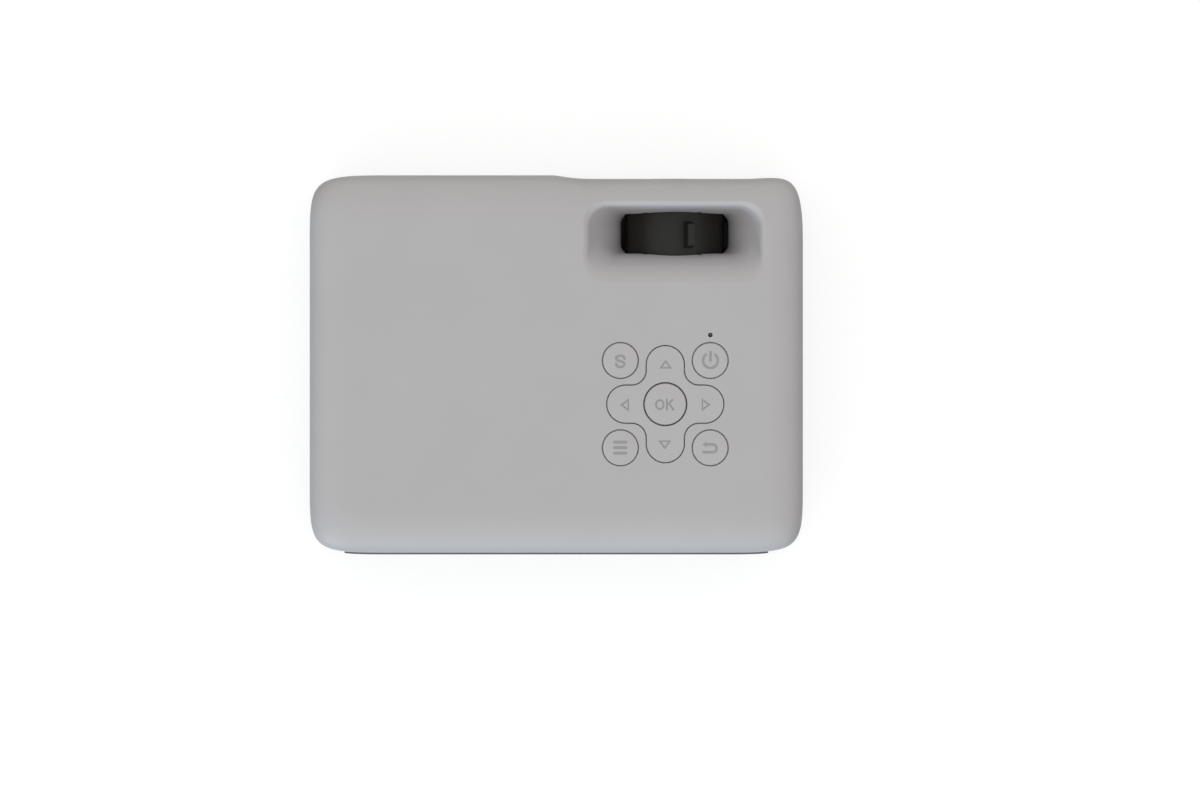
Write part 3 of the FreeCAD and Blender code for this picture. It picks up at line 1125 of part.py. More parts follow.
def make_lens_retainer():
    """The threaded ring that holds the front element."""
    seat = BARREL_FRONT_Y + GLASS_SEAT - 3.7
    return pipe(GLASS_FRONT, GLASS_FRONT - 1.8, seat - BARREL_FRONT_Y - 0.4,
                (LENS_X, BARREL_FRONT_Y + 0.4, LENS_Z), REARWARD)


def make_lens_bezel():
    """The dished ring in the front wall."""
    deep = BEZEL_DEPTH
    profile = [(BEZEL_THROAT, deep), (BEZEL_THROAT, deep - 2.5), (BEZEL_BODY_RADIUS - 1.6, 0.0),
               (BEZEL_BODY_RADIUS, 0.0), (BEZEL_BODY_RADIUS, WALL + 0.7), (BEZEL_FLANGE_RADIUS, WALL + 0.7),
               (BEZEL_FLANGE_RADIUS, WALL + 2.0), (BEZEL_THROAT + 2, deep)]
    return lathe(profile, (LENS_X, SCOOP_Y, LENS_Z), REARWARD)


# ================================================================ optical engine
def make_engine_housing():
    x0, x1 = ENGINE_X - ENGINE_HALF_WIDTH, ENGINE_X + ENGINE_HALF_WIDTH
    y0, y1 = ENGINE_FRONT_Y, ENGINE_REAR_Y
    top = ENGINE_HIGH_Z - ENGINE_WALL
    wall = ENGINE_WALL
    body = block(x0, x1, y0, y1, ENGINE_LOW_Z, top)
    body = body.cut(block(x0 + wall, x1 - wall, y0 + wall, y1 - wall, ENGINE_LOW_Z + wall, top + 1))
    parts = [body]
    for y, thick in PLATES:
        for side in (-1, 1):
            face = thick / 2 + 0.1
            y_from, y_to = sorted((y + side * face, y + side * (face + 1.5)))
            parts.append(block(x0 + wall - 0.5, x0 + wall + 2, y_from, y_to, ENGINE_LOW_Z + 1, top))
            parts.append(block(x1 - wall - 2, x1 - wall + 0.5, y_from, y_to, ENGINE_LOW_Z + 1, top))
    for x, y in ENGINE_EARS:
        parts.append(rod(EAR_RADIUS, 3.0, (x, y, ENGINE_LOW_Z)))
        y_from, y_to = sorted((y, y0 + 1 if y < 0 else y1 - 1))
        parts.append(block(x - EAR_RADIUS, x + EAR_RADIUS, y_from, y_to, ENGINE_LOW_Z, ENGINE_LOW_Z + 3))
    for y, z in fan_screw_places():
        parts.append(rod(FAN_BOSS, x0 - FAN_INNER_X + wall + 3, (FAN_INNER_X, y, z), ALONG_X))
    for x, y in cover_screw_places():
        parts.append(rod(3.0, 10, (x, y, top - 10)))
    cuts = [rod(LENS_APERTURE, wall + 2, (LENS_X, y0 - 1, LENS_Z), REARWARD)]
    half = LED_BOARD / 2 + 1
    cuts.append(block(ENGINE_X - half, ENGINE_X + half, y1 - wall - 1, y1 + 1, LENS_Z - half, LENS_Z + half))
    cuts += [rod(SMALL_SHANK + PILOT_GAP, 8, (x, y0 - 1, z), REARWARD) for x, z in lens_screw_places()]
    cuts += [rod(SMALL_SHANK + 0.2, 6, (x, y, ENGINE_LOW_Z - 1)) for x, y in ENGINE_EARS]
    cuts += [rod(FAN_SCREW + PILOT_GAP, wall + 8, (FAN_INNER_X - 1, y, z), ALONG_X)
             for y, z in fan_screw_places()]
    cuts += [rod(SMALL_SHANK + PILOT_GAP, 7, (x, y, top - 6)) for x, y in cover_screw_places()]
    cuts += vent_row(6, (x0, FAN_Y - 2.5 * VENT_PITCH, FAN_Z), REARWARD, (wall * 4, VENT_WIDTH, 30))
    return fuse(parts).cut(cuts)


def fan_screw_places():
    return [(FAN_Y + sy * FAN_HOLES, FAN_Z + sz * FAN_HOLES) for sy in (-1, 1) for sz in (-1, 1)]


def cover_screw_places():
    x_reach = ENGINE_HALF_WIDTH - 4.6
    return [(ENGINE_X + sx * x_reach, y) for sx in (-1, 1)
            for y in (ENGINE_FRONT_Y + 5.0, ENGINE_REAR_Y - 5.0)]


def make_engine_cover():
    plate = block(ENGINE_X - ENGINE_HALF_WIDTH, ENGINE_X + ENGINE_HALF_WIDTH, ENGINE_FRONT_Y, ENGINE_REAR_Y,
                  ENGINE_HIGH_Z - ENGINE_WALL, ENGINE_HIGH_Z)
    holes = [rod(SMALL_SHANK + 0.2, 6, (x, y, ENGINE_HIGH_Z - 5)) for x, y in cover_screw_places()]
    seats = [rod(SMALL_HEAD + 0.2, 3, (x, y, ENGINE_HIGH_Z - SMALL_HEAD_HEIGHT)) for x, y in
             cover_screw_places()]
    return plate.cut(holes + seats)


def optical_plate(y, thick):
    """A plate that stands in the engine's ribs."""
    half = ENGINE_HALF_WIDTH - ENGINE_WALL - PLATE_MARGIN
    return block(ENGINE_X - half, ENGINE_X + half, y - thick / 2, y + thick / 2,
                 ENGINE_LOW_Z + ENGINE_WALL, ENGINE_HIGH_Z - ENGINE_WALL - PLATE_MARGIN)


def make_condenser_holder():
    y, thick = PLATES[0]
    plate = optical_plate(y, thick)
    return plate.cut(rod(CONDENSER_RADIUS + 0.05, 20, (LENS_X, y - 10, LENS_Z), REARWARD))


def make_condenser():
    y, thick = PLATES[0]
    return lens_solid(CONDENSER_RADIUS, thick, 9.0, 1.5, (LENS_X, y + thick / 2, LENS_Z), FRONTWARD)


def make_heat_sink():
    y0 = ENGINE_REAR_Y
    plate = block(ENGINE_X - SINK_HALF_WIDTH, ENGINE_X + SINK_HALF_WIDTH, y0, y0 + SINK_BASE,
                  ENGINE_LOW_Z + 2, ENGINE_HIGH_Z - 2)
    half = LED_BOARD / 2
    pad = block(ENGINE_X - half, ENGINE_X + half, y0 - 1.5, y0 + 1, LENS_Z - half, LENS_Z + half)
    pitch = (2 * SINK_HALF_WIDTH - FIN_THICK) / (SINK_FINS - 1)
    fins = [block(ENGINE_X - SINK_HALF_WIDTH + i * pitch, ENGINE_X - SINK_HALF_WIDTH + i * pitch + FIN_THICK,
                  y0 + SINK_BASE - 1, SINK_REAR_Y, ENGINE_LOW_Z + 2, ENGINE_HIGH_Z - 2)
            for i in range(SINK_FINS)]
    return fuse([plate, pad] + fins)


def make_led_board():
    half = LED_BOARD / 2
    y1 = ENGINE_REAR_Y - 1.5
    board = block(ENGINE_X - half, ENGINE_X + half, y1 - 1.6, y1, LENS_Z - half, LENS_Z + half)
    die = block(ENGINE_X - 8, ENGINE_X + 8, y1 - 2.2, y1 - 1.5, LENS_Z - 8, LENS_Z + 8)
    return board.fuse(die)


# ================================================================ fan
def make_fan_frame():
    half = FAN_SIZE / 2
    frame = rounded_block(-half, half, -half, half, 4.0, 0, FAN_THICK)
    frame = frame.cut(rod(FAN_DUCT, FAN_THICK + 2, (0, 0, -1)))
    stator = rod(FAN_HUB - 0.6, 2.2, (0, 0, 0))
    bearing = pipe(3.4, FAN_SHAFT + 0.06, 6.0, (0, 0, 2.0))
    struts = [turned(block(FAN_HUB - 2, FAN_DUCT + 1, -1.4, 1.4, 0, 2.0), angle, UP, (0, 0, 0))
              for angle in (20, 110, 200, 290)]
    frame = fuse([frame, stator, bearing] + struts)
    holes = [rod(FAN_SCREW + 0.5, FAN_THICK + 2, (sx * FAN_HOLES, sy * FAN_HOLES, -1))
             for sx in (-1, 1) for sy in (-1, 1)]
    return to_fan(frame.cut(holes + [rod(FAN_SHAFT + 0.06, 7.5, (0, 0, 0.6))]))


def make_fan_impeller():
    """Hub cup, shaft and pitched blades."""
    low = 2.6
    hub = rod(FAN_HUB, FAN_THICK - low - 0.8, (0, 0, low)).cut(rod(FAN_HUB - 1.2, 9.0, (0, 0, low - 1)))
    shaft = rod(FAN_SHAFT, FAN_THICK - low - 0.8 + 1.4, (0, 0, low - 1.4))
    blades = []
    for i in range(FAN_BLADES):
        blade = block(FAN_HUB - 1, FAN_DUCT - 0.5, -6.5, 6.5, -0.6, 0.6)
        blade.rotate(Vector(), ALONG_X, FAN_PITCH_DEG)
        blade.translate(Vector(0, 0, low + 5.6))
        blades.append(turned(blade, 360 * i / FAN_BLADES, UP, (0, 0, 0)))
    ring = pipe(FAN_DUCT - 0.7, FAN_HUB - 0.4, FAN_THICK - low - 1.0, (0, 0, low + 0.2))
    return to_fan(fuse([hub, shaft] + [blade.common(ring) for blade in blades]))


def to_fan(shape):
    """Local Z becomes -X: the fan blows out through the side wall, its struts at the engine's side."""
    shape.Placement = Placement(Vector(FAN_INNER_X, FAN_Y, FAN_Z), Rotation(Vector(0, 1, 0), -90))
    return shape


# ================================================================ disc drive
def make_drive_chassis():
    """Sheet tub, open at the tray's end, with guide strips for the slides and four ears."""
    x0, x1 = DRIVE_BACK_X, DRIVE_FRONT_X
    half = DRIVE_HALF_WIDTH
    tub = block(x0, x1, -half, half, DRIVE_Z, DRIVE_TOP_Z - SHEET)
    tub = tub.cut(block(x0 + SHEET, x1 + 1, -half + SHEET, half - SHEET, DRIVE_Z + SHEET, DRIVE_TOP_Z))
    parts = [tub]
    for side in (-1, 1):
        y0, y1 = sorted((side * (half - SHEET - GUIDE_REACH), side * (half - SHEET / 2)))
        parts.append(block(x0 + 1, x1 - 1, y0, y1, RAIL_Z - 0.3 - GUIDE_THICK, RAIL_Z - 0.3))
        parts.append(block(x0 + 1, x1 - 1, y0, y1, RAIL_Z + RAIL_HEIGHT + 0.3,
                           RAIL_Z + RAIL_HEIGHT + 0.3 + GUIDE_THICK))
    for x, y in DRIVE_EARS:
        inner = math.copysign(half - 0.5, y)
        y0, y1 = sorted((inner, y + math.copysign(4.0, y)))
        parts.append(block(x - 4, x + 4, y0, y1, DRIVE_Z, DRIVE_Z + 1.2))
    holes = [rod(SMALL_SHANK + 0.2, 4, (x, y, DRIVE_Z - 1)) for x, y in DRIVE_EARS]
    return fuse(parts).cut(holes)


def make_drive_lid():
    half = DRIVE_HALF_WIDTH
    lid = block(DRIVE_BACK_X, DRIVE_FRONT_X, -half, half, DRIVE_TOP_Z - SHEET, DRIVE_TOP_Z)
    skirts = []
    for side in (-1, 1):
        y0, y1 = sorted((side * half, side * (half + 0.6)))
        skirts.append(block(DRIVE_BACK_X, DRIVE_FRONT_X, y0, y1, DRIVE_TOP_Z - 5, DRIVE_TOP_Z))
    return fuse([lid] + skirts)


def make_tray_rail(side):
    """The middle member of one telescopic slide."""
    y_out = DRIVE_HALF_WIDTH - SHEET - 0.3
    y_in = y_out - RAIL_THICK
    y0, y1 = sorted((side * y_in, side * y_out))
    bar = block(DRIVE_BACK_X + 2, DRIVE_BACK_X + 2 + RAIL_LENGTH, y0, y1, RAIL_Z, RAIL_Z + RAIL_HEIGHT)
    y0, y1 = sorted((side * (y_in - RAIL_TONGUE), side * (y_in + 0.3)))
    middle = RAIL_Z + RAIL_HEIGHT / 2
    key = block(DRIVE_BACK_X + 2, DRIVE_BACK_X + 2 + RAIL_LENGTH, y0, y1, middle - 0.6, middle + 0.6)
    return bar.fuse(key)


def to_spindle(shape):
    """From the pickup's own frame, X along its travel and the spindle at 0, to the drive."""
    shape.Placement = Placement(Vector(SPINDLE_X, 0, 0), Rotation(UP, SLED_ANGLE_DEG)).multiply(
        shape.Placement)
    return shape


def make_disc_tray():
    """The drawer: a plate with the disc's recess, walls below it and grooves for the slides."""
    x0, x1 = DRIVE_BACK_X + SHEET + 1.7, SIDE_X - BEZEL_THICK
    half = TRAY_HALF_WIDTH
    tray = rounded_block(x0, x1, -half, half, 1.5, DECK_TOP_Z, TRAY_TOP_Z)
    inside = block(x0 + TRAY_WALL, x1 - TRAY_WALL, -half + TRAY_WALL, half - TRAY_WALL, DECK_TOP_Z - 1,
                   TRAY_UNDER_Z)
    cuts = [inside, rod(DISC_RADIUS + DISC_CLEARANCE, 5, (SPINDLE_X, 0, TRAY_FLOOR_Z)),
            rod(SMALL_DISC_RADIUS + DISC_CLEARANCE, 5, (SPINDLE_X, 0, TRAY_FLOOR_Z - SMALL_DISC_DROP)),
            rod(TURNTABLE_RADIUS + 1.4, 20, (SPINDLE_X, 0, TRAY_UNDER_Z - 1))]
    slot = rounded_block(0, SLOT_REACH, -SLOT_HALF_WIDTH, SLOT_HALF_WIDTH, 2.0, TRAY_UNDER_Z - 1, TRAY_TOP_Z)
    cuts.append(to_spindle(slot.common(rod(DISC_RADIUS + 3, 30, (0, 0, TRAY_UNDER_Z - 5)))))
    middle = RAIL_Z + RAIL_HEIGHT / 2
    for side in (-1, 1):
        y0, y1 = sorted((side * (half - GROOVE_DEPTH), side * (half + 1)))
        cuts.append(block(x0 - 1, x1 - 4, y0, y1, middle - 0.9, middle + 0.9))
    return tray.cut(cuts)


def make_tray_deck():
    """The sheet that closes the drawer from below, with the rods' four holders."""
    x0, x1 = DRIVE_BACK_X + SHEET + 2.2, SIDE_X - BEZEL_THICK - 2
    half = TRAY_HALF_WIDTH - 0.5
    sheet = block(x0, x1, -half, half, DECK_TOP_Z - SHEET, DECK_TOP_Z)
    holders = []
    for along in (ROD_START, ROD_END - HOLDER):
        for side in (-1, 1):
            holders.append(block(along, along + HOLDER, side * ROD_SPREAD - 2.4, side * ROD_SPREAD + 2.4,
                                 DECK_TOP_Z - 0.3, ROD_Z + ROD_RADIUS + 0.8))
    bores = [rod(ROD_RADIUS, ROD_END - ROD_START + 2, (ROD_START - 1, side * ROD_SPREAD, ROD_Z), ALONG_X)
             for side in (-1, 1)]
    end = block(SCREW_END, SCREW_END + 2.4, SCREW_OFFSET - 2.6, SCREW_OFFSET + 2.6, DECK_TOP_Z - 0.3,
                ROD_Z + 2.2)
    end = end.cut(rod(SCREW_RADIUS + 0.08, 10, (SCREW_END - 4, SCREW_OFFSET, ROD_Z), ALONG_X))
    return sheet.fuse(to_spindle(fuse(holders).cut(bores).fuse(end)))


def make_tray_bezel():
    bezel = rounded_side(DRIVE_HALF_WIDTH, DRIVE_Z, DRIVE_TOP_Z, SIDE_X - BEZEL_THICK, SIDE_X, 1.2)
    hole = block(SIDE_X - 5, SIDE_X + 1, EJECT_Y - EJECT_WIDTH / 2 - 0.3, EJECT_Y + EJECT_WIDTH / 2 + 0.3,
                 EJECT_Z - EJECT_HEIGHT / 2 - 0.3, EJECT_Z + EJECT_HEIGHT / 2 + 0.3)
    pinhole = rod(0.7, 8, (SIDE_X - 6, EJECT_Y - 14, EJECT_Z), ALONG_X)
    groove = block(SIDE_X - 0.5, SIDE_X + 1, -DRIVE_HALF_WIDTH + 8, DRIVE_HALF_WIDTH - 8,
                   DRIVE_TOP_Z - 3.4, DRIVE_TOP_Z - 2.6)
    return bezel.cut([hole, pinhole, groove])


def make_eject_button():
    half, rise = EJECT_WIDTH / 2, EJECT_HEIGHT / 2
    face = block(SIDE_X - BEZEL_THICK + 0.6, SIDE_X, EJECT_Y - half, EJECT_Y + half,
                 EJECT_Z - rise, EJECT_Z + rise)
    return face.makeFillet(0.5, [e for e in face.Edges if e.BoundBox.XMin > SIDE_X - 0.01])


def make_spindle_motor():
    can = rod(MOTOR_RADIUS, MOTOR_TOP_Z - DECK_TOP_Z, (SPINDLE_X, 0, DECK_TOP_Z))
    neck = rod(3.0, 1.2, (SPINDLE_X, 0, MOTOR_TOP_Z - 0.2))
    return can.fuse(neck).cut(rod(SPINDLE_SHAFT + 0.06, 10, (SPINDLE_X, 0, DECK_TOP_Z + 0.6)))


def make_turntable():
    """Rotor bell, disc seat and centring hub, slotted to leave its three springy catches."""
    floor = MOTOR_TOP_Z + 1.3
    profile = [(0, DECK_TOP_Z + 0.9), (SPINDLE_SHAFT, DECK_TOP_Z + 0.9), (SPINDLE_SHAFT, floor),
               (MOTOR_RADIUS, floor), (MOTOR_RADIUS, DISC_SEAT_Z - 1.4), (TURNTABLE_RADIUS, DISC_SEAT_Z - 1.4),
               (TURNTABLE_RADIUS, DISC_SEAT_Z), (HUB_RADIUS, DISC_SEAT_Z), (HUB_RADIUS, DISC_SEAT_Z + 1.3),
               (HUB_RADIUS - 1.4, DISC_SEAT_Z + 2.3), (0, DISC_SEAT_Z + 2.3)]
    table = lathe(profile, (SPINDLE_X, 0, 0), UP)
    slots = [turned(block(SPINDLE_X + HUB_RADIUS - 2.2, SPINDLE_X + HUB_RADIUS + 1, side - 0.25, side + 0.25,
                          DISC_SEAT_Z + 0.3, DISC_SEAT_Z + 3), angle, UP, (SPINDLE_X, 0, 0))
             for angle in (30, 150, 270) for side in (-1.6, 1.6)]
    return table.cut(slots)


def make_sled():
    """The pickup's carriage on its two rods, with the arm that the screw drives."""
    half = SLED_LENGTH / 2
    body = block(SLED_START - half, SLED_START + half, -SLED_WIDTH / 2, SLED_WIDTH / 2, SLED_LOW_Z, SLED_TOP_Z)
    arm = block(SLED_START - 2.5, SLED_START + 2.5, SLED_WIDTH / 2 - 1, SCREW_OFFSET + 2.8,
                SLED_LOW_Z, ROD_Z + 2.6)
    bores = [rod(ROD_RADIUS + 0.08, SLED_LENGTH + 2, (SLED_START - half - 1, side * ROD_SPREAD, ROD_Z),
                 ALONG_X) for side in (-1, 1)]
    bores.append(rod(SCREW_RADIUS + 0.08, 8, (SLED_START - 4, SCREW_OFFSET, ROD_Z), ALONG_X))
    return to_spindle(fuse([body, arm]).cut(bores))


def make_pickup_lens():
    """The actuator block with the objective lens on top."""
    side = ACTUATOR / 2
    frame = block(SLED_START - side, SLED_START + side, -side - 1.5, side + 1.5, SLED_TOP_Z, SLED_TOP_Z + 1.0)
    bead = Part.makeSphere(2.4, Vector(SLED_START, 0, SLED_TOP_Z - 0.7))
    bead = bead.common(block(SLED_START - 3, SLED_START + 3, -3, 3, SLED_TOP_Z + 0.5, SLED_TOP_Z + 3))
    return to_spindle(frame.fuse(bead))


def make_guide_rods():
    return [to_spindle(rod(ROD_RADIUS, ROD_END - ROD_START, (ROD_START, side * ROD_SPREAD, ROD_Z), ALONG_X))
            for side in (-1, 1)]


def make_sled_screw():
    start = SLED_MOTOR_END + 0.4
    shaft = rod(SCREW_RADIUS, SCREW_END + 2.0 - start, (start, SCREW_OFFSET, ROD_Z), ALONG_X)
    tail = rod(SLED_SHAFT, 6, (start - 5.5, SCREW_OFFSET, ROD_Z), ALONG_X)
    return to_spindle(shaft.fuse(tail))


def make_sled_motor():
    can = rod(SLED_MOTOR_RADIUS, SLED_MOTOR_END - SLED_MOTOR_START, (SLED_MOTOR_START, SCREW_OFFSET, ROD_Z),
              ALONG_X)
    shoe = block(SLED_MOTOR_START, SLED_MOTOR_END, SCREW_OFFSET - 2.5, SCREW_OFFSET + 2.5, DECK_TOP_Z, ROD_Z)
    bore = rod(SLED_SHAFT + 0.06, 8, (SLED_MOTOR_END - 7, SCREW_OFFSET, ROD_Z), ALONG_X)
    return to_spindle(can.fuse(shoe).common(block(-40, 60, 0, 60, DECK_TOP_Z, TRAY_UNDER_Z - 0.3)).cut(bore))


# ================================================================ speaker and window
def speaker_screw_places():
    reach = SPEAKER_SIDE / 2 - 2.6
    return [(SPEAKER_X + sx * reach, SPEAKER_Z + sz * reach) for sx in (-1, 1) for sz in (-1, 1)]


def make_speaker():
    """Square frame, basket and magnet."""
    side = SPEAKER_SIDE / 2
    y0 = SPEAKER_FACE_Y
    frame = block(SPEAKER_X - side, SPEAKER_X + side, y0, y0 + 1.6, SPEAKER_Z - side, SPEAKER_Z + side)
    basket = lathe([(0, 1.0), (side - 2.5, 1.0), (15, 9.0), (14, 9.0), (14, 17.0), (0, 17.0)],
                   (SPEAKER_X, y0, SPEAKER_Z), REARWARD)
    cone = lathe([(0, -1), (side - 4, -1), (side - 4, 0.6), (5, 6.5), (0, 6.5)],
                 (SPEAKER_X, y0, SPEAKER_Z), REARWARD)
    holes = [rod(SMALL_SHANK + 0.2, 4, (x, y0 - 1, z), REARWARD) for x, z in speaker_screw_places()]
    return frame.fuse(basket).cut([cone] + holes)


def make_speaker_cone():
    side = SPEAKER_SIDE / 2
    profile = [(0, 4.9), (6, 5.4), (side - 5.4, 0.5), (side - 4.6, 0.2), (side - 4.2, 0.7), (6, 6.4), (0, 6.3)]
    return lathe(profile, (SPEAKER_X, SPEAKER_FACE_Y, SPEAKER_Z), REARWARD)


def make_ir_window():
    skin = ir_window_form(0).common(block(0, SIDE_X, FRONT_Y + 0.2, 0, 0, CASE_TOP))
    flange = rounded_plate(IR_X - IR_WIDTH / 2 - 1.5, IR_X + IR_WIDTH / 2 + 1.5, IR_Z - IR_HEIGHT / 2 - 1.5,
                           IR_Z + IR_HEIGHT / 2 + 1.5, 3, FRONT_Y + WALL + 0.05, FRONT_Y + WALL + 1.2)
    return skin.fuse(flange)


# ================================================================ feet and screws
def make_feet():
    return [rod(FOOT_RADIUS, FOOT_GAP + FOOT_POCKET, (x, y, 0)) for x, y in FEET]


def make_tripod_insert():
    return pipe(TRIPOD_OUTER, TRIPOD_RADIUS, TRIPOD_LENGTH, (0, TRIPOD_Y, FOOT_GAP))


def make_level_knob():
    """Knurled wheel on the foot's screw. A blind hole below takes the pad's peg."""
    low = LEVEL_CLEAR + LEVEL_PAD_HEIGHT + 0.1
    wheel = rod(LEVEL_KNOB_RADIUS, LEVEL_KNOB_HEIGHT, (LEVEL_FOOT_X, LEVEL_FOOT_Y, low))
    stem = rod(LEVEL_SCREW_RADIUS, LEVEL_SCREW_TOP_Z - low, (LEVEL_FOOT_X, LEVEL_FOOT_Y, low))
    count = 24
    cuts = [rod(2.0, 2.05, (LEVEL_FOOT_X, LEVEL_FOOT_Y, low))]
    for i in range(count):
        angle = 2 * math.pi * i / count
        cuts.append(rod(0.7, 4, (LEVEL_FOOT_X + LEVEL_KNOB_RADIUS * math.cos(angle),
                                 LEVEL_FOOT_Y + LEVEL_KNOB_RADIUS * math.sin(angle), low - 0.5)))
    return wheel.fuse(stem).cut(cuts)


def make_level_pad():
    pad = rod(LEVEL_KNOB_RADIUS - 2, LEVEL_PAD_HEIGHT, (LEVEL_FOOT_X, LEVEL_FOOT_Y, LEVEL_CLEAR))
    return pad.fuse(rod(1.92, LEVEL_PAD_HEIGHT + 1.9, (LEVEL_FOOT_X, LEVEL_FOOT_Y, LEVEL_CLEAR)))


def screw(head, head_height, shank, length, seat, into):
    """A pan-head screw seated at `seat`, its shank running along `into`."""
    start = Vector(*seat)
    body = rod(shank, length, start, into).fuse(rod(head, head_height, start - into * head_height, into))
    recess = Part.makeBox(head * 1.1, head * 0.28, head_height * 0.6,
                          Vector(-head * 0.55, -head * 0.14, 0))
    other = turned(recess, 90, UP, (0, 0, 0))
    cross = recess.fuse(other)
    cross.Placement = Placement(start - into * head_height, Rotation(UP, into))
    return body.cut(cross)


def small_screw(x, y, z, into):
    return screw(SMALL_HEAD, SMALL_HEAD_HEIGHT, SMALL_SHANK, SMALL_LENGTH, (x, y, z), into)


def make_small_screws():
    down, up = UP * -1, UP
    screws = [small_screw(x, y, KEY_BOARD_Z - KEY_BOARD_THICK, up) for x, y in key_board_corners()]
    screws += [small_screw(x, y, MAIN_BOARD_Z + BOARD_THICK, down)
               for x, y in board_holes(MAIN_BOARD, SOCKET_ROOM)]
    screws += [small_screw(x, y, POWER_BOARD_Z + BOARD_THICK, down)
               for x, y in board_holes(POWER_BOARD, HOLE_INSET)]
    screws += [small_screw(x, y, ENGINE_LOW_Z + 3.0, down) for x, y in ENGINE_EARS]
    screws += [small_screw(x, y, DRIVE_Z + 1.2, down) for x, y in DRIVE_EARS]
    screws += [small_screw(x, y, ENGINE_HIGH_Z - SMALL_HEAD_HEIGHT, down) for x, y in cover_screw_places()]
    screws += [small_screw(x, ENGINE_FRONT_Y - 3, z, REARWARD) for x, z in lens_screw_places()]
    screws += [small_screw(x, SPEAKER_FACE_Y + 1.6, z, FRONTWARD) for x, z in speaker_screw_places()]
    return screws


def make_case_screws():
    return [screw(SCREW_HEAD, SCREW_HEAD_HEIGHT, SCREW_SHANK, CASE_SCREW_LENGTH, (x, y, POST_SEAT_Z), UP)
            for x, y in CASE_SCREWS]


def make_fan_screws():
    return [screw(2.6, 1.2, FAN_SCREW, FAN_THICK + 5, (FAN_INNER_X - FAN_THICK, y, z), ALONG_X)
            for y, z in fan_screw_places()]


# ================================================================ output
def export_case():
    save("top_shell", make_top_shell())
    save("base", make_base())
    save("rear_panel", make_rear_panel())
    save("ir_window", make_ir_window())
    save("feet", *make_feet())
    save("tripod_insert", make_tripod_insert())
    save("level_knob", make_level_knob())
    save("level_pad", make_level_pad())
    save("case_screws", *make_case_screws())
    save("small_screws", *make_small_screws())


def export_keypad():
    for name, (x, y) in key_centres().items():
        save(name, make_round_key(x, y))
    save("button_ok", make_ok_key())
    save("nav_pad", make_nav_pad())
    save("pad_gimbal", make_pad_gimbal())
    save("key_board", make_key_board())
    save("key_switches", *make_switches())
    save("light_pipe", make_light_pipe())


def export_optics():
    save("lens_bezel", make_lens_bezel())
    save("focus_ring", make_focus_ring())
    save("lens_tube", make_lens_tube())
    save("ring_retainer", make_ring_retainer())
    save("lens_barrel", make_lens_barrel())
    save("lens_glass", *make_lens_glass())
    save("lens_retainer", make_lens_retainer())
    save("engine_housing", make_engine_housing())
    save("engine_cover", make_engine_cover())
    save("condenser_holder", make_condenser_holder())
    save("condenser_lens", make_condenser())
    save("fresnel_plates", optical_plate(*PLATES[1]), optical_plate(*PLATES[3]))
    save("lcd_panel", optical_plate(*PLATES[2]))
    save("heat_sink", make_heat_sink())
    save("led_board", make_led_board())
    save("fan_frame", make_fan_frame())
    save("fan_impeller", make_fan_impeller())
    save("fan_screws", *make_fan_screws())


def export_drive():
    save("drive_chassis", make_drive_chassis())
    save("drive_lid", make_drive_lid())
    save("tray_rail_front", make_tray_rail(-1))
    save("tray_rail_rear", make_tray_rail(1))
    save("disc_tray", make_disc_tray())
    save("tray_deck", make_tray_deck())
    save("tray_bezel", make_tray_bezel())
    save("eject_button", make_eject_button())
    save("spindle_motor", make_spindle_motor())
    save("turntable", make_turntable())
    save("pickup_sled", make_sled())
    save("pickup_lens", make_pickup_lens())
    save("guide_rods", *make_guide_rods())
    save("sled_screw", make_sled_screw())
    save("sled_motor", make_sled_motor())


def export_electronics():
    save("main_board", make_board(MAIN_BOARD, MAIN_BOARD_Z, SOCKET_ROOM))
    save("power_board", make_board(POWER_BOARD, POWER_BOARD_Z, HOLE_INSET))
    save("board_parts", *make_power_parts(), make_chip_sink())
    save("signal_sockets", *make_hdmi_sockets(), *make_usb_sockets())
    save("audio_jacks", *[make_jack(x) for x in JACK_X])
    save("power_inlet", make_power_inlet())
    save("speaker", make_speaker(), make_speaker_cone())


os.makedirs("parts", exist_ok=True)
export_case()
export_keypad()
export_optics()
export_drive()
export_electronics()
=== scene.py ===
"""Desktop projector with a built-in disc drive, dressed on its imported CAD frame. Metres, +Z up."""
import math

import bmesh
import bpy
from mathutils import Matrix, Vector


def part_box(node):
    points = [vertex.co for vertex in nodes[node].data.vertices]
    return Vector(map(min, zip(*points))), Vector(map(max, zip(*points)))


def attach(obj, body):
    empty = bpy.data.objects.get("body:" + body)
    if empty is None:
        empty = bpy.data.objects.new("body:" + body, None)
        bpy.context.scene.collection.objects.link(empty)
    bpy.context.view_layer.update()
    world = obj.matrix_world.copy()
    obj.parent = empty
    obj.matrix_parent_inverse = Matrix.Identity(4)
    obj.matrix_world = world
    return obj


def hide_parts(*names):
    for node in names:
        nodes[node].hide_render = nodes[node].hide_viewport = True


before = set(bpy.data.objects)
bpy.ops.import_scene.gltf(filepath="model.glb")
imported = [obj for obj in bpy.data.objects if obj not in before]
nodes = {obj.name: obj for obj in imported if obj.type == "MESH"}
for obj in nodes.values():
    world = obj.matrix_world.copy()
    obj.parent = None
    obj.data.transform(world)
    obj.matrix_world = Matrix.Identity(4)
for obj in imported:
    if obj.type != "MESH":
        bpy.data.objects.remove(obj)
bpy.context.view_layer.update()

MM = 0.001
CASE_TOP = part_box("top_shell")[1].z
NANOMETRES_PER_MM = 1.0e6


# ---------------------------------------------------------------- colours and node helpers
def tone(red, green, blue):
    """A display colour, 0 to 255, as linear light."""
    def linear(value):
        value = value / 255
        return value / 12.92 if value <= 0.04045 else ((value + 0.055) / 1.055) ** 2.4
    return linear(red), linear(green), linear(blue), 1.0


def scaled(colour, factor):
    return tuple(min(1.0, v * factor) for v in colour[:3]) + (1.0,)


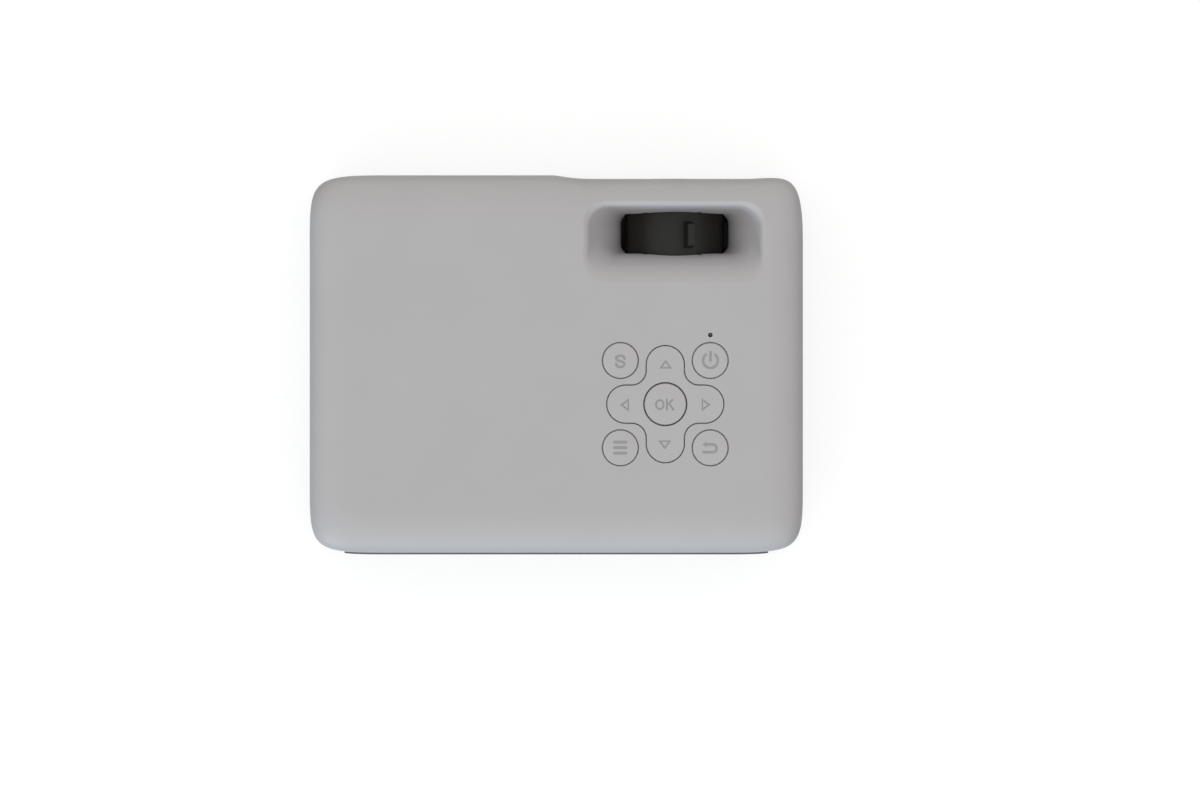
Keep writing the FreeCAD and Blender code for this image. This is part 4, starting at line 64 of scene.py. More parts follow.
class Look:
    """A material being built round one Principled shader, in the object's own coordinates."""

    def __init__(self, name):
        self.material = bpy.data.materials.new(name)
        self.material.use_nodes = True
        self.tree = self.material.node_tree
        self.shader = self.tree.nodes["Principled BSDF"]
        self.place = self.tree.nodes.new("ShaderNodeTexCoord").outputs["Object"]

    def put(self, socket, value):
        if isinstance(value, bpy.types.NodeSocket):
            self.tree.links.new(value, socket)
        else:
            socket.default_value = value

    def node(self, kind, inputs=(), **settings):
        made = self.tree.nodes.new(kind)
        for key, value in settings.items():
            setattr(made, key, value)
        for key, value in dict(inputs).items():
            self.put(made.inputs[key], value)
        return made

    def base(self, **values):
        """Sets the shader's own sockets by name, with _ for a space."""
        for key, value in values.items():
            self.put(self.shader.inputs[key.replace("_", " ")], value)
        return self

    def stretch(self, x, y, z):
        """The object's coordinates, scaled differently along the three axes."""
        return self.node("ShaderNodeMapping", {"Vector": self.place, "Scale": (x, y, z)}).outputs[0]

    def noise(self, size_mm, detail=2.0, roughness=0.5, place=None):
        """Noise whose features are about size_mm across."""
        made = self.node("ShaderNodeTexNoise", {"Vector": place or self.place, "Scale": 1000.0 / size_mm,
                                                "Detail": detail, "Roughness": roughness})
        return made.outputs["Fac"]

    def remap(self, value, low, high, from_low=0.3, from_high=0.7):
        made = self.node("ShaderNodeMapRange", {"Value": value, "From Min": from_low, "From Max": from_high,
                                                "To Min": low, "To Max": high})
        return made.outputs["Result"]

    def math(self, operation, a, b=0.0, clamp=False):
        made = self.node("ShaderNodeMath", operation=operation, use_clamp=clamp)
        self.put(made.inputs[0], a)
        self.put(made.inputs[1], b)
        return made.outputs[0]

    def mix(self, factor, a, b):
        made = self.node("ShaderNodeMix", data_type="RGBA")
        self.put(made.inputs["Factor"], factor)
        self.put(made.inputs[6], a)
        self.put(made.inputs[7], b)
        return made.outputs[2]

    def bump(self, height, depth_mm, strength=1.0, normal=None):
        inputs = {"Height": height, "Distance": depth_mm * MM, "Strength": strength}
        if normal is not None:
            inputs["Normal"] = normal
        return self.node("ShaderNodeBump", inputs).outputs["Normal"]

    def axes(self):
        """The object's own x, y and z as three values."""
        return self.node("ShaderNodeSeparateXYZ", {"Vector": self.place}).outputs


# ---------------------------------------------------------------- materials
def moulded(name, colour, rough=0.5, drift=0.03, grain_mm=0.35, relief_mm=0.012, specular=0.5):
    """Injection-moulded plastic: slow tint drift, spark-eroded grain and uneven sheen."""
    look = Look(name)
    slow = look.noise(38.0, 3.0)
    grain = look.noise(grain_mm, 3.0, 0.6)
    tint = look.mix(look.remap(slow, 0.0, 1.0), scaled(colour, 1 - drift), scaled(colour, 1 + drift))
    rub = look.noise(9.0, 4.0, 0.6)
    look.base(Base_Color=tint, Roughness=look.remap(rub, rough - 0.05, rough + 0.05),
              Normal=look.bump(grain, relief_mm), Specular_IOR_Level=specular)
    return look.material


def rubber(name, colour, rough=0.7):
    """Rubber: matt, with fine pits and a dusty bloom."""
    look = Look(name)
    pits = look.noise(0.5, 5.0, 0.7)
    bloom = look.noise(6.0, 4.0, 0.6)
    look.base(Base_Color=look.mix(look.remap(bloom, 0.0, 0.6), colour, scaled(colour, 1.9)),
              Roughness=look.remap(pits, rough - 0.08, rough + 0.1), Normal=look.bump(pits, 0.02),
              Specular_IOR_Level=0.35)
    return look.material


def plated(name, colour, rough=0.3, stretch=(1.0, 1.0, 1.0), spangle_mm=0.0):
    """Sheet or turned metal: drawn lines along one axis, and crystal patches on galvanised sheet."""
    look = Look(name)
    lines = look.noise(0.25, 3.0, 0.7, look.stretch(*stretch))
    smudge = look.noise(14.0, 4.0, 0.6)
    tint = look.mix(look.remap(smudge, 0.0, 1.0), scaled(colour, 0.93), scaled(colour, 1.05))
    if spangle_mm:
        cells = look.node("ShaderNodeTexVoronoi", {"Vector": look.place, "Scale": 1000.0 / spangle_mm})
        patch = look.node("ShaderNodeSeparateColor", {"Color": cells.outputs["Color"]}).outputs[0]
        tint = look.mix(look.math("MULTIPLY", patch, 0.35), tint, scaled(colour, 0.8))
    look.base(Base_Color=tint, Metallic=1.0, Roughness=look.remap(lines, rough - 0.06, rough + 0.1),
              Normal=look.bump(lines, 0.004))
    return look.material


def threaded(name, colour, pitch_mm, radius_mm, centre, axis, metallic=0.0, rough=0.45):
    """A screw's flank lines inside radius_mm of its axis, the plain finish outside it."""
    look = Look(name)
    side = Vector((0, 0, 1)).cross(Vector(axis)) if abs(axis[2]) < 0.9 else Vector((1, 0, 0))
    side.normalize()
    other = Vector(axis).cross(side)
    away = look.node("ShaderNodeVectorMath", {0: look.place, 1: centre}, operation="SUBTRACT").outputs[0]

    def along(direction):
        made = look.node("ShaderNodeVectorMath", {0: away, 1: direction}, operation="DOT_PRODUCT")
        return made.outputs["Value"]
    u, v, w = along(side), along(other), along(axis)
    turn = look.math("MULTIPLY", look.math("ARCTAN2", u, v), 1 / (2 * math.pi))
    lead = look.math("MULTIPLY", w, 1000.0 / pitch_mm)
    saw = look.math("FRACT", look.math("ADD", lead, turn))
    ridge = look.math("ABSOLUTE", look.math("SUBTRACT", saw, 0.5))
    distance = look.math("SQRT", look.math("ADD", look.math("MULTIPLY", u, u), look.math("MULTIPLY", v, v)))
    inside = look.math("LESS_THAN", distance, radius_mm * MM)
    height = look.math("MULTIPLY", ridge, inside)
    # The colour darkens towards the bottom of each thread groove.
    groove_bottom_dark = look.math("MULTIPLY", look.math("SUBTRACT", 0.5, ridge, True), inside)
    rub = look.noise(3.0, 4.0)
    look.base(Base_Color=look.mix(look.math("MULTIPLY", groove_bottom_dark, 0.9), colour, scaled(colour, 0.45)),
              Metallic=metallic, Roughness=look.remap(rub, rough - 0.08, rough + 0.08),
              Normal=look.bump(height, pitch_mm * 0.5))
    return look.material


def board(name):
    """Circuit board: solder mask over traces, with tinned pads."""
    look = Look(name)
    mask, trace = tone(12, 84, 50), tone(28, 118, 70)
    bent = look.node("ShaderNodeTexBrick", {"Vector": look.place, "Scale": 120.0, "Color1": (0, 0, 0, 1),
                                            "Color2": (0, 0, 0, 1), "Mortar": (1, 1, 1, 1),
                                            "Mortar Size": 0.06, "Brick Width": 0.9, "Row Height": 0.22})
    cells = look.node("ShaderNodeTexVoronoi", {"Vector": look.place, "Scale": 260.0})
    pads = look.remap(cells.outputs["Distance"], 1.0, 0.0, 0.16, 0.2)
    weave = look.noise(0.6, 2.0)
    under = look.mix(look.math("MULTIPLY", look.node("ShaderNodeSeparateColor",
                                                     {"Color": bent.outputs["Color"]}).outputs[0], 0.8),
                     mask, trace)
    look.base(Base_Color=look.mix(look.math("MULTIPLY", pads, 0.85), under, tone(196, 178, 120)),
              Roughness=look.remap(weave, 0.28, 0.42), Normal=look.bump(weave, 0.01))
    return look.material


def components(name):
    """Component bodies: black epoxy with a fine cast grain and lighter patches."""
    look = Look(name)
    patch = look.noise(16.0, 1.0)
    grain = look.noise(0.2, 4.0)
    look.base(Base_Color=look.mix(look.remap(patch, 0.0, 1.0), tone(30, 30, 34), tone(62, 60, 58)),
              Roughness=look.remap(grain, 0.4, 0.6), Normal=look.bump(grain, 0.01))
    return look.material


def optical(name, tint, coat_mm=0.0, rough=0.02, dust=0.06):
    """Clear glass or resin with a trace of dust, and a coating's colour on the reflections."""
    look = Look(name)
    specks = look.noise(2.2, 5.0, 0.7)
    look.base(Base_Color=tint, Transmission_Weight=1.0, IOR=1.5,
              Roughness=look.remap(specks, rough, rough + dust, 0.45, 0.8))
    if coat_mm:
        look.base(Thin_Film_Thickness=coat_mm * NANOMETRES_PER_MM, Thin_Film_IOR=1.38)
    return look.material


def striped(name, colour, dark, pitch_mm, axis, share=0.5, relief_mm=0.05, rough=0.45):
    """A moulded plastic with fine ribs across one axis (0 x, 1 y, 2 z)."""
    look = Look(name)
    wave = look.math("FRACT", look.math("MULTIPLY", look.axes()[axis], 1000.0 / pitch_mm))
    edge = look.remap(look.math("ABSOLUTE", look.math("SUBTRACT", wave, 0.5)), 0.0, 1.0,
                      share * 0.5 - 0.06, share * 0.5 + 0.06)
    grain = look.noise(0.4, 3.0)
    normal = look.bump(grain, 0.01, normal=look.bump(edge, relief_mm))
    look.base(Base_Color=look.mix(edge, dark, colour), Roughness=look.remap(grain, rough, rough + 0.1),
              Normal=normal)
    return look.material


SHELL_TONE = tone(180, 178, 179)
BLACK = tone(38, 37, 36)

looks = {
    "case_white": moulded("shell_plastic", SHELL_TONE, 0.52, 0.012, 0.35, 0.010, 0.3),
    "case_base": moulded("base_plastic", tone(170, 168, 170), 0.56, 0.02, 0.4, 0.016),
    "key_white": moulded("key_plastic", tone(181, 179, 180), 0.46, 0.01, 0.22, 0.006, 0.3),
    "black_plastic": moulded("black_plastic", BLACK, 0.46, 0.12, 0.3, 0.012),
    "dark_panel": moulded("panel_plastic", tone(101, 106, 109), 0.5, 0.05, 0.4, 0.018),
    "ring_black": moulded("ring_plastic", tone(23, 22, 19), 0.5, 0.1, 0.3, 0.012, 0.35),
    "foot_rubber": rubber("foot_rubber", tone(34, 34, 34)),
    "glass": optical("coated_glass", (0.93, 0.95, 0.97, 1.0), 0.00034, 0.0, 0.02),
    "steel": plated("bright_steel", (0.62, 0.62, 0.61, 1.0), 0.28),
    "sheet": plated("galvanised_sheet", (0.58, 0.59, 0.60, 1.0), 0.34, (0.08, 1.0, 1.0), 5.0),
    "alu": plated("aluminium", (0.70, 0.71, 0.72, 1.0), 0.36, (1.0, 0.06, 1.0)),
    "brass": plated("brass", (0.72, 0.52, 0.22, 1.0), 0.3, (1.0, 1.0, 0.1)),
    "board": board("circuit_board"),
    "parts": components("component_bodies"),
    "smoke": optical("smoked_window", (0.05, 0.01, 0.02, 1.0), 0.0, 0.05, 0.05),
    "clear": optical("light_guide", (0.86, 0.9, 0.92, 1.0), 0.0, 0.12, 0.2),
}


def middle_of(node):
    """The middle of a node's box."""
    return tuple((low + high) / 2 for low, high in zip(*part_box(node)))


def dress(node, look):
    """Gives every material slot of a CAD node one material."""
    for slot in nodes[node].material_slots:
        slot.material = look


def paint(node, look, inside):
    """Gives the faces of a node whose middle is inside one more material."""
    mesh = nodes[node].data
    mesh.materials.append(look)
    last = len(mesh.materials) - 1
    for face in mesh.polygons:
        if inside(face.center):
            face.material_index = last


def shell_boxes(node):
    """The boxes round a node's separate solids."""
    shape = bmesh.new()
    shape.from_mesh(nodes[node].data)
    bmesh.ops.remove_doubles(shape, verts=shape.verts, dist=2e-6)
    boxes, left = [], set(shape.verts)
    while left:
        reach = [left.pop()]
        spots = []
        while reach:
            vertex = reach.pop()
            spots.append(vertex.co.copy())
            for edge in vertex.link_edges:
                other = edge.other_vert(vertex)
                if other in left:
                    left.remove(other)
                    reach.append(other)
        boxes.append([[pick(spot[axis] for spot in spots) for axis in range(3)] for pick in (min, max)])
    shape.free()
    return boxes


def inside_shell(point, box, wall_mm, bottom_mm):
    """Whether a point is in a socket's cavity: clear of its walls, of its bottom at low y and of its mouth."""
    x, y, z = point
    (x0, y0, z0), (x1, y1, z1) = box
    wall, bottom, mouth = wall_mm * MM, bottom_mm * MM, MM
    return x0 + wall < x < x1 - wall and y0 + bottom < y < y1 - mouth and z0 + wall < z < z1 - wall


slot_of = {name: node.material_slots[0].material.name.split(".")[0] for name, node in nodes.items()}
for name, slot in slot_of.items():
    dress(name, looks[slot])


# ---------------------------------------------------------------- mesh helpers
def from_curve(curve, name):
    """The mesh of a curve or text, welded into a closed solid."""
    holder = bpy.data.objects.new(name, curve)
    bpy.context.scene.collection.objects.link(holder)
    bpy.context.view_layer.update()
    mesh = bpy.data.meshes.new_from_object(holder.evaluated_get(bpy.context.evaluated_depsgraph_get()))
    bpy.data.objects.remove(holder)
    weld(mesh)
    return mesh


def weld(mesh):
    shape = bmesh.new()
    shape.from_mesh(mesh)
    bmesh.ops.remove_doubles(shape, verts=shape.verts, dist=2e-6)
    bmesh.ops.recalc_face_normals(shape, faces=shape.faces)
    shape.to_mesh(mesh)
    shape.free()


def smooth(mesh, degrees=32.0):
    if "custom_normal" in mesh.attributes:
        mesh.attributes.remove(mesh.attributes["custom_normal"])
    mesh.shade_smooth()
    mesh.set_sharp_from_angle(angle=math.radians(degrees))


def prism(name, loops, centre, low, high):
    """A closed solid between two heights from outlines in mm round a centre."""
    curve = bpy.data.curves.new(name, "CURVE")
    curve.dimensions, curve.fill_mode = "2D", "BOTH"
    curve.extrude = (high - low) / 2
    for loop in loops:
        spline = curve.splines.new("POLY")
        spline.points.add(len(loop) - 1)
        for point, (u, v) in zip(spline.points, loop):
            point.co = (centre[0] + u * MM, centre[1] + v * MM, 0, 1)
        spline.use_cyclic_u = True
    mesh = from_curve(curve, name)
    mesh.transform(Matrix.Translation((0, 0, (high + low) / 2)))
    return mesh


def spot(radius, degrees, middle=(0.0, 0.0)):
    """A point round a middle; degrees from straight up, clockwise as read."""
    angle = math.radians(degrees)
    return middle[0] + radius * math.sin(angle), middle[1] + radius * math.cos(angle)


def arc(radius, start, end, steps, middle=(0.0, 0.0)):
    """Points along an arc, both ends included."""
    return [spot(radius, start + (end - start) * i / steps, middle) for i in range(steps + 1)]


def band(radius, width, start, end, steps=40):
    """The outline of an arc stroke with round ends."""
    half = width / 2
    outer, inner = arc(radius + half, start, end, steps), arc(radius - half, end, start, steps)
    tip, root = spot(radius, end), spot(radius, start)
    return outer + arc(half, end + 20, end + 160, 6, tip) + inner + arc(half, start + 200, start + 340, 6, root)


def bar(u0, u1, v, width):
    """A level stroke with round ends."""
    half = width / 2
    return arc(half, 0, 180, 8, (u1 - half, v)) + arc(half, 180, 360, 8, (u0 + half, v))


def flowing(knots, steps=6):
    """Points of a smooth curve through the knots."""
    ends = [knots[0]] + list(knots) + [knots[-1]]
    points = []
    for before, here, there, after in zip(ends, ends[1:], ends[2:], ends[3:]):
        for i in range(steps):
            t = i / steps
            points.append(tuple(0.5 * (2 * b + (c - a) * t + (2 * a - 5 * b + 4 * c - d) * t * t
                                       + (3 * b - a - 3 * c + d) * t ** 3)
                                for a, b, c, d in zip(before, here, there, after)))
    return points + [knots[-1]]


def stroke(points, width):
    """The outline of a pen stroke of one width along the points, with round ends."""
    half = width / 2
    sides = [[], []]
    for i, (u, v) in enumerate(points):
        back, ahead = points[max(i - 1, 0)], points[min(i + 1, len(points) - 1)]
        du, dv = ahead[0] - back[0], ahead[1] - back[1]
        long = math.hypot(du, dv)
        for side, sign in zip(sides, (1, -1)):
            side.append((u - dv / long * half * sign, v + du / long * half * sign))

    def cap(tip, inner):
        away = math.degrees(math.atan2(tip[0] - inner[0], tip[1] - inner[1]))
        return arc(half, away - 60, away + 60, 6, tip)
    return sides[0] + cap(points[-1], points[-2]) + sides[1][::-1] + cap(points[0], points[1])


# ---------------------------------------------------------------- keys with sunk legends
LEGEND_DEPTH = 0.35 * MM
STEM_RADIUS = 0.65 * MM
# Painted shade: the sunk legends' floors and walls get a darker grey than the keys, which stands in for the
# shade in the grooves.
legend_shade_look = moulded("legend_painted_shade", tone(157, 155, 156), 0.5, 0.02, 0.3, 0.008)


def carved(node, body, cutters, look, floor=legend_shade_look):
    """A copy of a key with its legends sunk into it. It stands in for the plain one."""
    mesh = nodes[node].data.copy()
    weld(mesh)
    mesh.materials.clear()
    mesh.materials.append(look)
    piece = bpy.data.objects.new(node + "_marked", mesh)
    bpy.context.scene.collection.objects.link(piece)
    tools = []
    for cutter in cutters:
        cutter.materials.clear()
        # The cut faces take this material: on the keys it is the painted shade of the sunk legends.
        cutter.materials.append(floor)
        tool = bpy.data.objects.new(node + "_cutter", cutter)
        bpy.context.scene.collection.objects.link(tool)
        tools.append(tool)
        step = piece.modifiers.new("sink", "BOOLEAN")
        step.operation, step.solver, step.object = "DIFFERENCE", "EXACT", tool
        step.material_mode = "TRANSFER"
    bpy.context.view_layer.update()
    result = bpy.data.meshes.new_from_object(piece.evaluated_get(bpy.context.evaluated_depsgraph_get()))
    piece.modifiers.clear()
    piece.data = result
    for tool in tools:
        bpy.data.objects.remove(tool)
    smooth(result)
    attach(piece, body)
    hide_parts(node)
    return piece


def legend(node, name, loops):
    """Cutter of a legend that is read with the lens at the top of the picture."""
    turned = [[(-u, -v) for u, v in loop] for loop in loops]
    return prism(name, turned, middle_of(node)[:2], CASE_TOP - LEGEND_DEPTH, CASE_TOP + MM)


def eject_mark():
    """Cutter of a triangle over a bar, in the eject key's face."""
    face_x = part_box("eject_button")[1].x
    triangle = [(-1.15, -0.1), (1.15, -0.1), (0.0, 1.15)]
    line = [(-1.15, -1.05), (1.15, -1.05), (1.15, -0.6), (-1.15, -0.6)]
    mesh = prism("eject_mark", [triangle, line], middle_of("eject_button")[1:], face_x - LEGEND_DEPTH,
                 face_x + MM)
    mesh.transform(Matrix(((0, 0, 1, 0), (1, 0, 0, 0), (0, 1, 0, 0), (0, 0, 0, 1))))
    return mesh


def ring(half_wide, half_high, width, middle):
    """Outline and hole of an oval ring."""
    turns = [math.radians(10 * i) for i in range(36)]
    return [[(middle[0] + (half_wide - less) * math.sin(turn), middle[1] + (half_high - less) * math.cos(turn))
             for turn in turns] for less in (0.0, width)]


def inset(loop, share):
    """A loop shrunk towards its middle."""
    middle = [sum(values) / len(loop) for values in zip(*loop)]
    return [(middle[0] + (u - middle[0]) * share, middle[1] + (v - middle[1]) * share) for u, v in loop]


def carve_symbol(node, body, loops, *more):
    """Sinks outlines, and any more cutters, into a key of the case's colour."""
    carved(node, body, [legend(node, node + "_symbol", loops), *more], looks["key_white"])


LETTER_PEN = 1.2
OK_PEN = 0.8
BAR_PEN = 1.45
HOOK_RADIUS = (2.6, 1.4)
ARROW = [(0.0, 22.8), (-3.25, 18.45), (3.25, 18.45)]
ARROW_SHIFTS = [(0.2, -0.4), (0.0, -0.4), (-0.28, 0.0), (0.0, -0.3)]    # up, left, down and right as read


def make_keys():
    """The symbols moulded into the keys; sizes in mm from each key's middle."""
    turns = [(2.1, 0.85), (1.75, 1.85), (0.75, 2.32), (-0.55, 2.32), (-1.75, 1.85), (-2.05, 1.0),
             (-1.55, 0.2), (-0.3, -0.25), (1.1, -0.7), (1.95, -1.5), (1.85, -2.5), (0.95, -3.18),
             (-0.4, -3.25), (-1.6, -2.8), (-2.1, -1.8)]
    carve_symbol("button_source", "key_source", [stroke(flowing(turns), LETTER_PEN)])
    letter_k = [[(0.8, 2.4), (0.8, -2.75)], [(3.85, 2.35), (0.95, -0.35)], [(1.95, 0.45), (4.05, -2.75)]]
    carve_symbol("button_ok", "key_ok", ring(2.35, 2.65, OK_PEN, (-2.8, -0.2)),
                 *[legend("button_ok", "letter_k", [stroke(line, OK_PEN)]) for line in letter_k])
    power_ring = [(u + 0.12, v) for u, v in band(3.78, 1.2, 38, 322)]
    power_bar = [(v, -u) for u, v in bar(-4.8, 0.55, 0.2, 1.25)]
    carve_symbol("button_power", "key_power", [power_ring], legend("button_power", "power_bar", [power_bar]))
    carve_symbol("button_menu", "key_menu", [bar(-3.58, 3.58, v, BAR_PEN) for v in (2.88, 0.1, -2.7)])
    outer, inner = HOOK_RADIUS
    bend = (1.3, -0.25)
    hook = [(-3.5, 2.35), (1.3, 2.35)] + arc(outer, 0, 180, 16, bend) + [(-3.75, -2.85), (-3.75, -1.65)]
    hook += arc(inner, 180, 0, 16, bend) + [(-3.5, 1.15)]
    head = [(-3.95, 1.75), (-1.75, 3.1), (-1.75, 0.4)]
    carve_symbol("button_back", "key_back", [hook],
                 legend("button_back", "back_head", [head, inset(head, 0.45)]))
    arrows = []
    for quarter, (du, dv) in enumerate(ARROW_SHIFTS):
        turn = math.radians(90 * quarter)
        for loop in (ARROW, inset(ARROW, 0.56)):
            arrows.append([(u * math.cos(turn) - v * math.sin(turn) + du,
                            u * math.sin(turn) + v * math.cos(turn) + dv) for u, v in loop])
    carve_symbol("nav_pad", "pad", arrows)
    carved("eject_button", "eject_key", [eject_mark()], looks[slot_of["eject_button"]],
           looks["black_plastic"])


make_keys()


# ---------------------------------------------------------------- finishes of single nodes
SCREW_LEAD = (math.sqrt(0.5), -math.sqrt(0.5), 0.0)
PIN_FROM_MIDDLE = 4.3 * MM
PIN_HALF = 1.3 * MM


def dress_screws():
    """Screw threads on the levelling foot and on the sled's lead screw."""
    x, y, _ = middle_of("level_knob")
    dress("level_knob", threaded("foot_screw", BLACK, 2.0, 4.4, (x, y, 0.0), (0, 0, 1)))
    dress("sled_screw", threaded("lead_screw", (0.6, 0.6, 0.6, 1), 2.0, 1.6, middle_of("sled_screw"),
                                 SCREW_LEAD, 1.0, 0.3))


def dress_sockets():
    """Black linings and contact tongues in the metal shells, and steel pins in the inlet."""
    tongues = striped("contact_tongue", tone(34, 34, 36), (0.72, 0.52, 0.22, 1.0), 1.0, 0, 0.6, 0.02, 0.4)
    shells = shell_boxes("signal_sockets")
    for look, wall_mm, bottom_mm in ((looks["black_plastic"], 0.4, 1.0), (tongues, 0.7, 2.2)):
        paint("signal_sockets", look,
              lambda p: any(inside_shell(p, box, wall_mm, bottom_mm) for box in shells))
    x, _, z = middle_of("power_inlet")
    paint("power_inlet", looks["steel"],
          lambda p: abs(abs(p.x - x) - PIN_FROM_MIDDLE) < PIN_HALF and abs(p.z - z) < PIN_HALF)


def finish_nodes():
    """Materials that belong to one node."""
    dress_screws()
    dress("disc_tray", moulded("tray_plastic", tone(58, 58, 60), 0.42, 0.06, 0.25, 0.008))
    dress("turntable", rubber("turntable_rubber", tone(36, 36, 37), 0.55))
    dress("engine_housing", moulded("engine_plastic", tone(30, 30, 31), 0.6, 0.15, 0.5, 0.03))
    dress("engine_cover", moulded("cover_plastic", tone(30, 30, 31), 0.6, 0.15, 0.5, 0.03))
    dress("speaker", moulded("speaker_paper", tone(40, 38, 37), 0.75, 0.25, 0.8, 0.05, 0.2))
    dress("pickup_lens", optical("objective_lens", (0.75, 0.82, 0.95, 1.0), 0.00045, 0.0, 0.02))
    dress("audio_jacks", moulded("jack_plastic", tone(46, 44, 44), 0.4, 0.1, 0.3, 0.008))
    x, y, _ = middle_of("light_pipe")
    # The light pipe's sides below the case top, outside its stem, get the black plastic, so a dark ring shows
    # round the stem.
    paint("light_pipe", looks["black_plastic"],
          lambda p: math.hypot(p.x - x, p.y - y) > STEM_RADIUS and p.z < CASE_TOP - MM)
    dress_sockets()


finish_nodes()


# ---------------------------------------------------------------- floor, light and camera
def seen(tree):
    """1 for what the camera sees, directly, mirrored or through glass, and 0 for light that falls on things."""
    path = tree.nodes.new("ShaderNodeLightPath")
    total = path.outputs["Is Camera Ray"]
    for name in ("Is Glossy Ray", "Is Transmission Ray"):
        larger = tree.nodes.new("ShaderNodeMath")
        larger.operation = "MAXIMUM"
        tree.links.new(total, larger.inputs[0])
        tree.links.new(path.outputs[name], larger.inputs[1])
        total = larger.outputs[0]
    return total


FLOOR_Z = -0.1 * MM
FLOOR_REACH = 30.0
SEEN_GLOW = 0.77


def make_floor():
    """A pale floor: white to the camera, with the object's shadow, and clear when seen from below."""
    mesh = bpy.data.meshes.new("floor")
    corners = [(x * FLOOR_REACH, y * FLOOR_REACH, FLOOR_Z) for x, y in ((-1, -1), (1, -1), (1, 1), (-1, 1))]
    mesh.from_pydata(corners, [], [(0, 1, 2, 3)])
    floor = bpy.data.objects.new("floor", mesh)
    bpy.context.scene.collection.objects.link(floor)
    material = bpy.data.materials.new("floor_paper")
    material.use_nodes = True
    tree = material.node_tree
    tree.nodes.clear()
    paper = tree.nodes.new("ShaderNodeBsdfDiffuse")
    paper.inputs["Color"].default_value = (0.22, 0.22, 0.215, 1)
    pale = tree.nodes.new("ShaderNodeBsdfDiffuse")
    pale.inputs["Color"].default_value = (0.30, 0.30, 0.30, 1)
    glow = tree.nodes.new("ShaderNodeEmission")
    glow.inputs["Strength"].default_value = SEEN_GLOW
    both = tree.nodes.new("ShaderNodeAddShader")
    choose = tree.nodes.new("ShaderNodeMixShader")
    out = tree.nodes.new("ShaderNodeOutputMaterial")
    tree.links.new(pale.outputs[0], both.inputs[0])
    tree.links.new(glow.outputs[0], both.inputs[1])
    tree.links.new(seen(tree), choose.inputs[0])
    tree.links.new(paper.outputs[0], choose.inputs[1])
    tree.links.new(both.outputs[0], choose.inputs[2])
    below = tree.nodes.new("ShaderNodeMixShader")
    clear = tree.nodes.new("ShaderNodeBsdfTransparent")
    tree.links.new(tree.nodes.new("ShaderNodeNewGeometry").outputs["Backfacing"], below.inputs[0])
    tree.links.new(choose.outputs[0], below.inputs[1])
    tree.links.new(clear.outputs[0], below.inputs[2])
    tree.links.new(below.outputs[0], out.inputs["Surface"])
    mesh.materials.append(material)


ROUND_LIGHT = 0.165
OVERHEAD_LIGHT = 1.48
OVERHEAD_NARROWNESS = 2.0


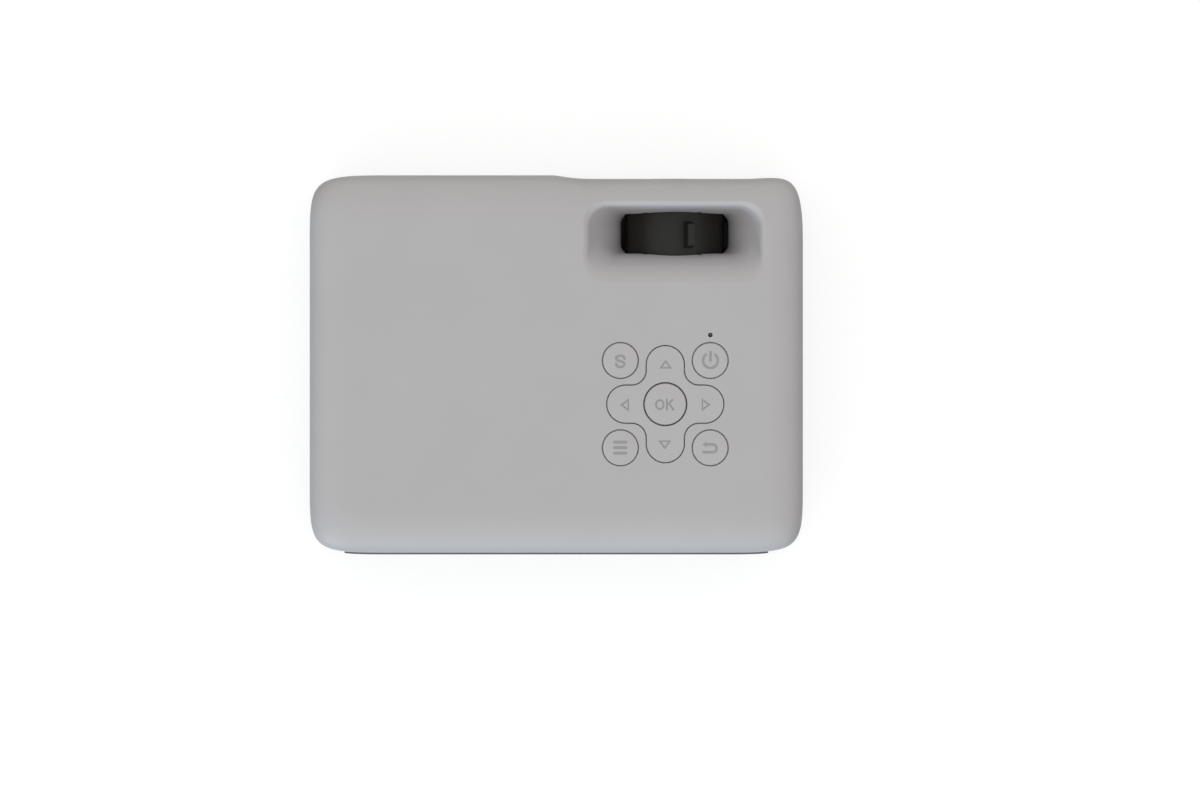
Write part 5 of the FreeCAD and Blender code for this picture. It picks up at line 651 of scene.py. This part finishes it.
def make_world():
    """Soft light that is strongest overhead, and a white backdrop for the camera and for reflections."""
    world = bpy.data.worlds.new("studio")
    bpy.context.scene.world = world
    world.use_nodes = True
    tree = world.node_tree
    tree.nodes.clear()
    soft = tree.nodes.new("ShaderNodeBackground")
    soft.inputs["Color"].default_value = (1.0, 0.995, 0.985, 1)
    way = tree.nodes.new("ShaderNodeSeparateXYZ")
    tree.links.new(tree.nodes.new("ShaderNodeTexCoord").outputs["Generated"], way.inputs[0])
    up = tree.nodes.new("ShaderNodeMath")
    up.operation = "MAXIMUM"
    tree.links.new(way.outputs["Z"], up.inputs[0])
    up.inputs[1].default_value = 0.0
    lobe = tree.nodes.new("ShaderNodeMath")
    lobe.operation = "POWER"
    tree.links.new(up.outputs[0], lobe.inputs[0])
    lobe.inputs[1].default_value = OVERHEAD_NARROWNESS
    level = tree.nodes.new("ShaderNodeMath")
    level.operation = "MULTIPLY_ADD"
    tree.links.new(lobe.outputs[0], level.inputs[0])
    level.inputs[1].default_value = OVERHEAD_LIGHT
    level.inputs[2].default_value = ROUND_LIGHT
    tree.links.new(level.outputs[0], soft.inputs["Strength"])
    white = tree.nodes.new("ShaderNodeBackground")
    white.inputs["Strength"].default_value = 1.0
    white.inputs["Color"].default_value = (1, 1, 1, 1)
    choose = tree.nodes.new("ShaderNodeMixShader")
    out = tree.nodes.new("ShaderNodeOutputWorld")
    tree.links.new(seen(tree), choose.inputs[0])
    tree.links.new(soft.outputs[0], choose.inputs[1])
    tree.links.new(white.outputs[0], choose.inputs[2])
    tree.links.new(choose.outputs[0], out.inputs["Surface"])


def make_lamp(name, place, target, size, level, colour):
    """A wide soft lamp. level is what it adds to a surface that faces it; 1 shows a colour as written."""
    lamp = bpy.data.lights.new(name, "AREA")
    lamp.shape, lamp.color = "RECTANGLE", colour
    lamp.size, lamp.size_y = size
    away = Vector(place) - Vector(target)
    lamp.energy = level * math.pi ** 2 * away.length_squared
    holder = bpy.data.objects.new(name, lamp)
    holder.location = place
    holder.rotation_mode = "QUATERNION"
    holder.rotation_quaternion = away.to_track_quat("Z", "Y")
    bpy.context.scene.collection.objects.link(holder)


MM_PER_PIXEL = 0.5076
PICTURE_WIDTH = 1200
CAMERA_HEIGHT = 12.0
SCALE_HEIGHT = 0.06           # where the scale holds
CAMERA_PLACE = (-22.15 * MM, 18.56 * MM)


def make_camera():
    """Straight down on the object from far away, with the lens side at the top of the picture."""
    camera = bpy.data.cameras.new("camera")
    camera.type = "PERSP"
    camera.sensor_width = 36.0
    camera.lens = camera.sensor_width * (CAMERA_HEIGHT - SCALE_HEIGHT) / (MM_PER_PIXEL * MM * PICTURE_WIDTH)
    camera.clip_start, camera.clip_end = 0.1, 100.0
    holder = bpy.data.objects.new("camera", camera)
    holder.location = (*CAMERA_PLACE, CAMERA_HEIGHT)
    holder.rotation_euler = (0, 0, math.pi)
    bpy.context.scene.collection.objects.link(holder)
    bpy.context.scene.camera = holder


make_floor()
make_world()
for lamp_name, lamp_place, lamp_level, lamp_colour in (
        ("low_lamp", (1.44, 3.08, 0.48), 0.54, (0.70, 0.87, 1.0)),
        ("front_lamp", (0.0, -3.4, 0.33), 0.12, (1.0, 0.95, 0.84))):
    make_lamp(lamp_name, lamp_place, (0, 0, CASE_TOP), (1.8, 0.6), lamp_level, lamp_colour)
make_camera()
bpy.context.scene.view_settings.view_transform = "Standard"
